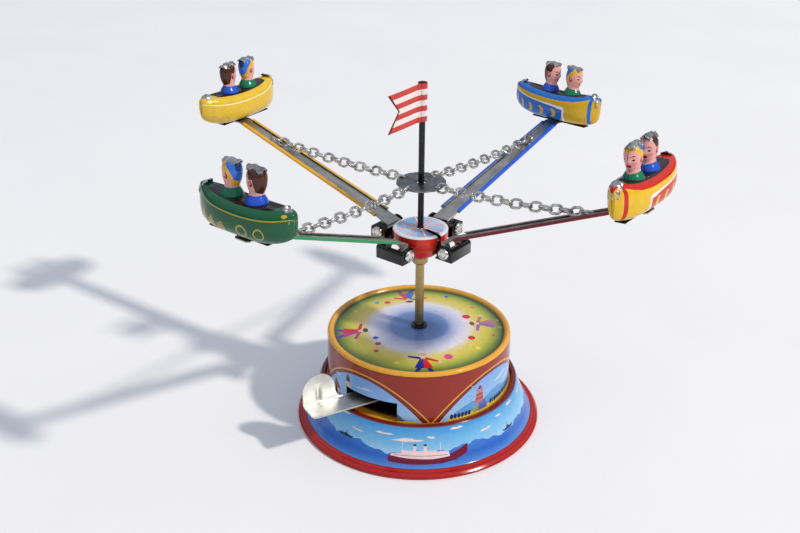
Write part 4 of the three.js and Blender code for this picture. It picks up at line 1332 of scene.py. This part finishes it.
def hull_layers(design, main, trim, side):
    """The print of one side of a hull. x runs to the bow and y from the keel up over the gunwale."""
    dark = inked(linear(26, 18, 18), 0.66)
    if design == "banded":
        layers = [(None, inked(trim, 0.66))]
        deck = [(-31, 16.0), (-20, 15.4), (-8, 14.9), (4, 14.8), (11, 15.2), (16.5, 16.8), (19.5, 18.4),
                (31, 19.4), (31, 25), (-31, 25)]
        layers.append((dense(deck), main))
        layers.append((bow_band(18.6, 21.0), main))
        panel = [(-31, 13.6), (-20, 13.2), (-6, 12.8), (6.4, 12.3), (7.0, 11.8), (6.6, -1), (-31, -1)]
        inner = [(-31, 13.2), (-20, 12.8), (-6, 12.4), (5.7, 11.9), (6.1, 11.4), (5.7, -1), (-31, -1)]
        layers += [(dense(panel), WHITE), (dense(inner), main)]
        for x in (-22.0, -16.2, -10.4, -4.6, 1.2):
            layers.append((ellipse(x, 9.0, 1.9, 2.7, -0.20), trim))
            layers.append((ellipse(x - 1.4, 8.7, 1.7, 2.7, -0.20), main))
        layers.append((ellipse(-26.0, 7.6, 1.2, 1.9, -0.25), trim))
        layers.append((dense([(25.2, 16), (28.5, 15), (28.5, 19), (24.6, 19.6)]), trim))
    else:
        layers = [(None, inked(main, 0.66))]
        stripe = np.array([(-31, 14.6), (-16, 13.8), (0, 13.6), (12, 14.0), (21, 15.6)])
        layers.append((dense(np.concatenate([stripe + [0, 0.25], stripe[::-1] - [0, 0.25]])), trim))
        places, level, ring = (((-10.5, -3.5), 9.4, trim), ((-19.0, -13.0), 7.0, trim * 0.45))[side < 0]
        for x in places:
            layers.append((ellipse(x, level, 2.3, 2.6), ring))
            layers.append((ellipse(x, level, 1.8, 2.0), main))
        for number, x in enumerate((25.0, 20.4, 15.4, 10.2, 5.2) if side > 0 else ()):
            tall = (14.0, 13.4, 12.6, 11.8, 11.0)[number]
            leaf = [(x - 1.3, 5.6), (x + 1.6, 6.6), (x + 2.3, 9.0), (x - 0.4, tall), (x - 1.5, 8.8)]
            layers.append((dense(leaf), trim * (0.95 - 0.07 * number)))
        layers.append((ellipse(-21.5, 17.0, 1.7, 1.6), trim))
    t = np.linspace(0, 1, 24)
    cockpit = np.column_stack([-14.4 + 29.4 * t, 21.2 - 1.9 * np.sin(np.pi * t) ** 0.5])
    layers.append((dense(np.concatenate([cockpit, [(15.0, 25.2), (-14.4, 25.2)]])), dark))
    return layers


def bow_band(start, end):
    """A band round the bow from keel to deck."""
    back = [(start + 0.6, 18.6), (start, 14), (start + 0.2, 8), (start + 0.8, -1)]
    front = [(end + 0.8, -1), (end + 0.2, 8), (end, 14), (end + 0.6, 18.6)]
    return dense(back + front)


def hull_patch(arm, side, design, main, trim):
    to_space = gondola_frame(arm)

    def place(xy):
        x, y, z = hull_point(xy)
        return to_space(x, side * (np.maximum(y, 0) + GAP / 4), z)

    xs = UNROLLED * np.concatenate([[-0.9995], np.linspace(-0.98, 0.98, 51), [0.9995]])
    ys = np.linspace(0.02, GIRTH - 0.02, 27)
    border = block(xs[0], ys[0], xs[-1], ys[-1])
    layers = hull_layers(design, main, trim, side)
    return Patch(square_grid(xs, ys), lambda p: inside(p, border), place, layers, turned=side > 0, thickness=0.35)


# half a rider's outline from the seat to the crown: half-length and half-width at each height
RIDER_HEIGHTS = np.array([
    10.2, 12.6, 14.4, 16.0, 17.2, 18.0, 18.8, 19.9, 21.6, 23.6, 25.4, 27.0, 28.2, 29.0])
RIDER_LONG = np.array([5.4, 5.3, 5.0, 4.4, 3.7, 3.2, 3.1, 3.6, 4.2, 4.45, 4.4, 4.0, 3.1, 1.4])
RIDER_WIDE = np.array([5.0, 4.9, 4.6, 4.0, 3.3, 2.9, 2.7, 2.9, 3.3, 3.6, 3.65, 3.3, 2.5, 1.1])
FACE_R = 3.6


def curve_through(where, places, values):
    """A smooth curve through (place, value) points, with slopes from their neighbours."""
    slopes = np.gradient(values, places)
    where = np.clip(where, places[0], places[-1])
    i = np.clip(np.searchsorted(places, where) - 1, 0, len(places) - 2)
    step = places[i + 1] - places[i]
    t = (where - places[i]) / step
    first = values[i] * (1 + 2 * t) * (1 - t) ** 2 + slopes[i] * step * t * (1 - t) ** 2
    return first + values[i + 1] * t * t * (3 - 2 * t) + slopes[i + 1] * step * t * t * (t - 1)


def rider_patch(arm, side, seat, jersey, hair, cap):
    """Half of a rider: x of the domain runs from the face round the side to the nape, and y is height."""
    to_space = gondola_frame(arm)

    def place(xy):
        angle, height = xy[:, 0] / FACE_R, xy[:, 1]
        long = curve_through(height, RIDER_HEIGHTS, RIDER_LONG)
        wide = curve_through(height, RIDER_HEIGHTS, RIDER_WIDE)
        nose = 0.85 * np.exp(-(angle / 0.28) ** 2 - ((height - 22.6) / 1.1) ** 2)
        chin = 0.35 * np.exp(-(angle / 0.5) ** 2 - ((height - 19.6) / 0.8) ** 2)
        brow = 0.25 * np.exp(-(angle / 0.8) ** 2 - ((height - 25.2) / 0.7) ** 2)
        socket = -0.22 * np.exp(-((angle - 0.55) / 0.25) ** 2 - ((height - 24.0) / 0.7) ** 2)
        ear = 0.45 * np.exp(-((angle - 1.62) / 0.20) ** 2 - ((height - 23.2) / 1.3) ** 2)
        x = (long + nose + chin + brow + socket) * np.cos(angle)
        y = (wide + ear + socket) * np.sin(angle)
        return to_space(seat + x, side * (np.maximum(y, 0) + GAP / 4), height)

    reach, seam = math.pi * FACE_R, 0.01
    foot, crown = RIDER_HEIGHTS[0], RIDER_HEIGHTS[-1]
    border = block(seam, foot, reach - seam, crown)
    grid = square_grid(np.linspace(seam, reach - seam, 25), np.linspace(foot, crown, 36))
    layers = rider_layers(reach, jersey, hair, cap)
    return Patch(grid, lambda p: inside(p, border), place, layers, turned=side < 0, thickness=0.3)


def rider_layers(reach, jersey, hair, cap):
    """The skin and on it the jersey, cheek, hair, ear, the scarf if there is one, eye, brow and lips."""
    skin, blush = linear(230, 166, 160), linear(224, 142, 134)
    lips, ink = linear(196, 24, 26), linear(44, 26, 30)
    layers = [(None, inked(skin, 0.66))]
    collar = [(-1, 9), (reach + 1, 9), (reach + 1, 18.4), (reach / 2, 18.0), (1.6, 17.6), (-1, 17.0)]
    layers.append((dense(collar, 0.8), jersey))
    layers.append((ellipse(2.7, 21.6, 1.1, 0.9), blush))
    forehead = 26.4 if cap is not None else 28.0
    face_edge = [(2.6, forehead + 0.4), (4.2, 26.0), (4.7, 24.6), (5.0, 24.4), (6.4, 24.8), (6.8, 22.0),
                 (7.4, 19.6), (reach + 1, 18.6), (reach + 1, 31)]
    layers.append((dense([(-1, forehead), *face_edge, (-1, 31)], 0.6), hair))
    layers.append((ellipse(5.7, 23.0, 0.85, 1.35), linear(150, 34, 36)))
    layers.append((ellipse(5.6, 23.3, 0.45, 0.8), blush))
    if cap is not None:
        scarf = [(4.4, 31), (5.0, 27.6), (6.4, 26.4), (7.6, 24.4), (8.6, 21.6), (reach + 1, 20.8),
                 (reach + 1, 31)]
        layers.append((dense(scarf, 0.6), cap))
        layers.append((dense([(8.8, 31), (9.4, 25.4), (reach + 1, 24.4), (reach + 1, 31)], 0.6), cap * 0.25))
    layers.append((dense([(1.2, 23.3), (2.0, 23.8), (3.1, 23.4), (2.1, 22.9)], 0.4), linear(120, 60, 90)))
    layers.append((ellipse(2.1, 23.4, 0.42, 0.34), ink))
    layers.append((dense([(1.0, 24.4), (2.0, 25.3), (3.3, 24.7), (2.1, 24.8)], 0.5), ink))
    layers.append((ellipse(0.5, 20.6, 0.85, 0.55), lips))
    return layers


def tab_patch(arm, centre, size, slant, sag, fold, seed):
    """A folded tin tab: a small plate over the seam, bent down at both sides and a little crumpled."""
    to_space = gondola_frame(arm)
    long, wide = size

    def place(xy):
        a, b = xy[:, 0], xy[:, 1]
        crumple = 0.34 * np.sin(1.5 * a + seed) * np.cos(1.7 * b + 2 * seed)
        crumple += 0.16 * np.sin(2.9 * (a - b) + seed)
        lift = crumple - sag * (b / wide) ** 2 - fold * (a / long) ** 2
        c, s = math.cos(slant), math.sin(slant)
        return to_space(centre[0] + a * c + lift * s, centre[1] + b, centre[2] - a * s + lift * c)

    corners = [(-long, -wide, wide * 0.7), (long, -wide, wide * 0.5), (long, wide, wide * 0.7),
               (-long, wide, wide * 0.4)]
    border = dense(filleted(corners), 0.5)
    grid = square_grid(np.linspace(-long, long, 15), np.linspace(-wide, wide, 13))
    return bordered(grid, border, place, [(None, WHITE)], thickness=0.35)


PALETTE = {
    "red": ("banded", linear(196, 40, 26), linear(226, 182, 40)),
    "blue": ("banded", linear(34, 108, 196), linear(214, 172, 40)),
    "yellow": ("ringed", linear(222, 184, 52), linear(240, 232, 200)),
    "green": ("ringed", linear(22, 92, 58), linear(192, 164, 50)),
}
ARM_PAINT = {
    "red": linear(128, 30, 42), "blue": linear(40, 92, 200),
    "yellow": linear(222, 166, 44), "green": linear(46, 140, 86),
}


def build_gondola(arm):
    design, main, trim = PALETTE[arm]
    green, blue = linear(20, 118, 84), linear(36, 84, 196)
    blonde, brown, cap = linear(226, 176, 40), linear(74, 40, 28), linear(48, 112, 210)
    for side, label in ((1, "outer"), (-1, "inner")):
        patches = [hull_patch(arm, side, design, main, trim),
                   rider_patch(arm, side, FRONT_SEAT, green, blonde, cap),
                   rider_patch(arm, side, REAR_SEAT, blue, brown, None)]
        name = f"gondola_{arm}_{label}"
        sheet_piece(name + "_print", patches, f"arm_{arm}", (name,), back=INSIDE)
    tabs = [
        tab_patch(arm, (FRONT_SEAT, 0, 29.6), (4.3, 2.5), slant=0.05, sag=1.7, fold=0.5, seed=1.0),
        tab_patch(arm, (REAR_SEAT, 0, 29.6), (4.3, 2.5), slant=-0.04, sag=1.7, fold=0.5, seed=2.4),
        tab_patch(arm, (HULL_HALF - 1.1, 0, 15.3), (4.0, 2.7), slant=0.95, sag=1.3, fold=1.6, seed=3.1),
        tab_patch(arm, (1.3 - HULL_HALF, 0, 14.9), (4.0, 2.7), slant=-0.95, sag=1.3, fold=1.6, seed=4.2),
    ]
    sheet_piece(f"seam_tabs_{arm}", tabs, f"arm_{arm}", back=TAB_TIN, front=TAB_TIN)
    eased(f"keel_plate_{arm}", f"keel_plate_{arm}_pressed", 0.12, f"arm_{arm}", BLACK)


# ---- chains -------------------------------------------------------------------------------------
PITCH = 5.1
LINK_LENGTH, LINK_WIDTH, WIRE = PITCH + 1.9, 5.4, 1.3
SAG = 1.6


def chain_link(around=10, sides=20):
    """An oval wire link about the origin, its length along X, as points and faces."""
    straight = (LINK_LENGTH - LINK_WIDTH) / 2
    radius = (LINK_WIDTH - WIRE) / 2
    points, faces = [], []
    for i in range(sides):
        angle = 2 * math.pi * i / sides
        cx, cy = radius * math.cos(angle), radius * math.sin(angle)
        shift = straight if math.cos(angle) >= 0 else -straight
        for k in range(around):
            turn = 2 * math.pi * k / around
            swell = WIRE / 2 * math.cos(turn)
            x, y = cx + shift + swell * math.cos(angle), cy + swell * math.sin(angle)
            points.append((x, y, WIRE / 2 * math.sin(turn)))
            j, m = (i + 1) % sides, (k + 1) % around
            faces.append((i * around + k, j * around + k, j * around + m, i * around + m))
    return np.array(points), faces


def build_chain(arm):
    """Links from a hole of the disc to the hook on the arm, with a slight sag."""
    azimuth, slope = azimuth_of(arm), math.radians(REST_SLOPES[arm])
    along, square = HOOK
    start = np.array([CHAIN_HOLE_R, DISC_Z + 0.4])
    end = np.array([PIN_R + along * math.cos(slope) - square * math.sin(slope),
                    PIN_Z + along * math.sin(slope) + square * math.cos(slope)])
    count = round(np.linalg.norm(end - start) / PITCH)
    points, faces = [], []
    shape, pattern = chain_link()
    for i in range(count):
        t = (i + 0.5) / count
        centre = start + (end - start) * t - [0, 4 * SAG * t * (1 - t)]
        fall = (end - start) - np.array([0, 4 * SAG * (1 - 2 * t)])
        pitch = math.atan2(fall[1], fall[0])
        roll = math.radians(45 + 90 * (i % 2) + random.uniform(-9, 9))
        turn = Matrix.Rotation(azimuth, 3, "Z") @ Matrix.Rotation(-pitch, 3, "Y")
        turn = turn @ Matrix.Rotation(roll, 3, "X")
        placed = shape @ np.array(turn).T
        placed += [centre[0] * math.cos(azimuth), centre[0] * math.sin(azimuth), centre[1]]
        base = len(points)
        points += placed.tolist()
        faces += [tuple(v + base for v in face) for face in pattern]
    name, replaced = f"chain_{arm}_links", (f"chain_{arm}_inner", f"chain_{arm}_outer")
    piece = shown(name, smooth(mesh_of(name, points, faces), 60), [CHROME], replaced)
    out = np.array([math.cos(azimuth), math.sin(azimuth), 0]) * MM
    rise = np.array([0, 0, MM])
    ends = [tuple(out * radius + rise * height) for radius, height in (start, end)]
    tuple(ends[0])
    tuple(ends[1])
    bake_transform(piece)


look_from(elevation=26.72, distance=579, aim_height=81.35, aside=9.6, roll=0.4, lens=54.1)
studio()
floor()
build_skirt()
build_drum()
build_top()
build_base_hardware()
build_lever()
build_hub()
build_shafts()
build_flag()
build_pins()
for arm_name in ARM_NAMES:
    build_arm(arm_name, ARM_PAINT[arm_name])
    build_tongue(arm_name)
    build_gondola(arm_name)
    build_chain(arm_name)
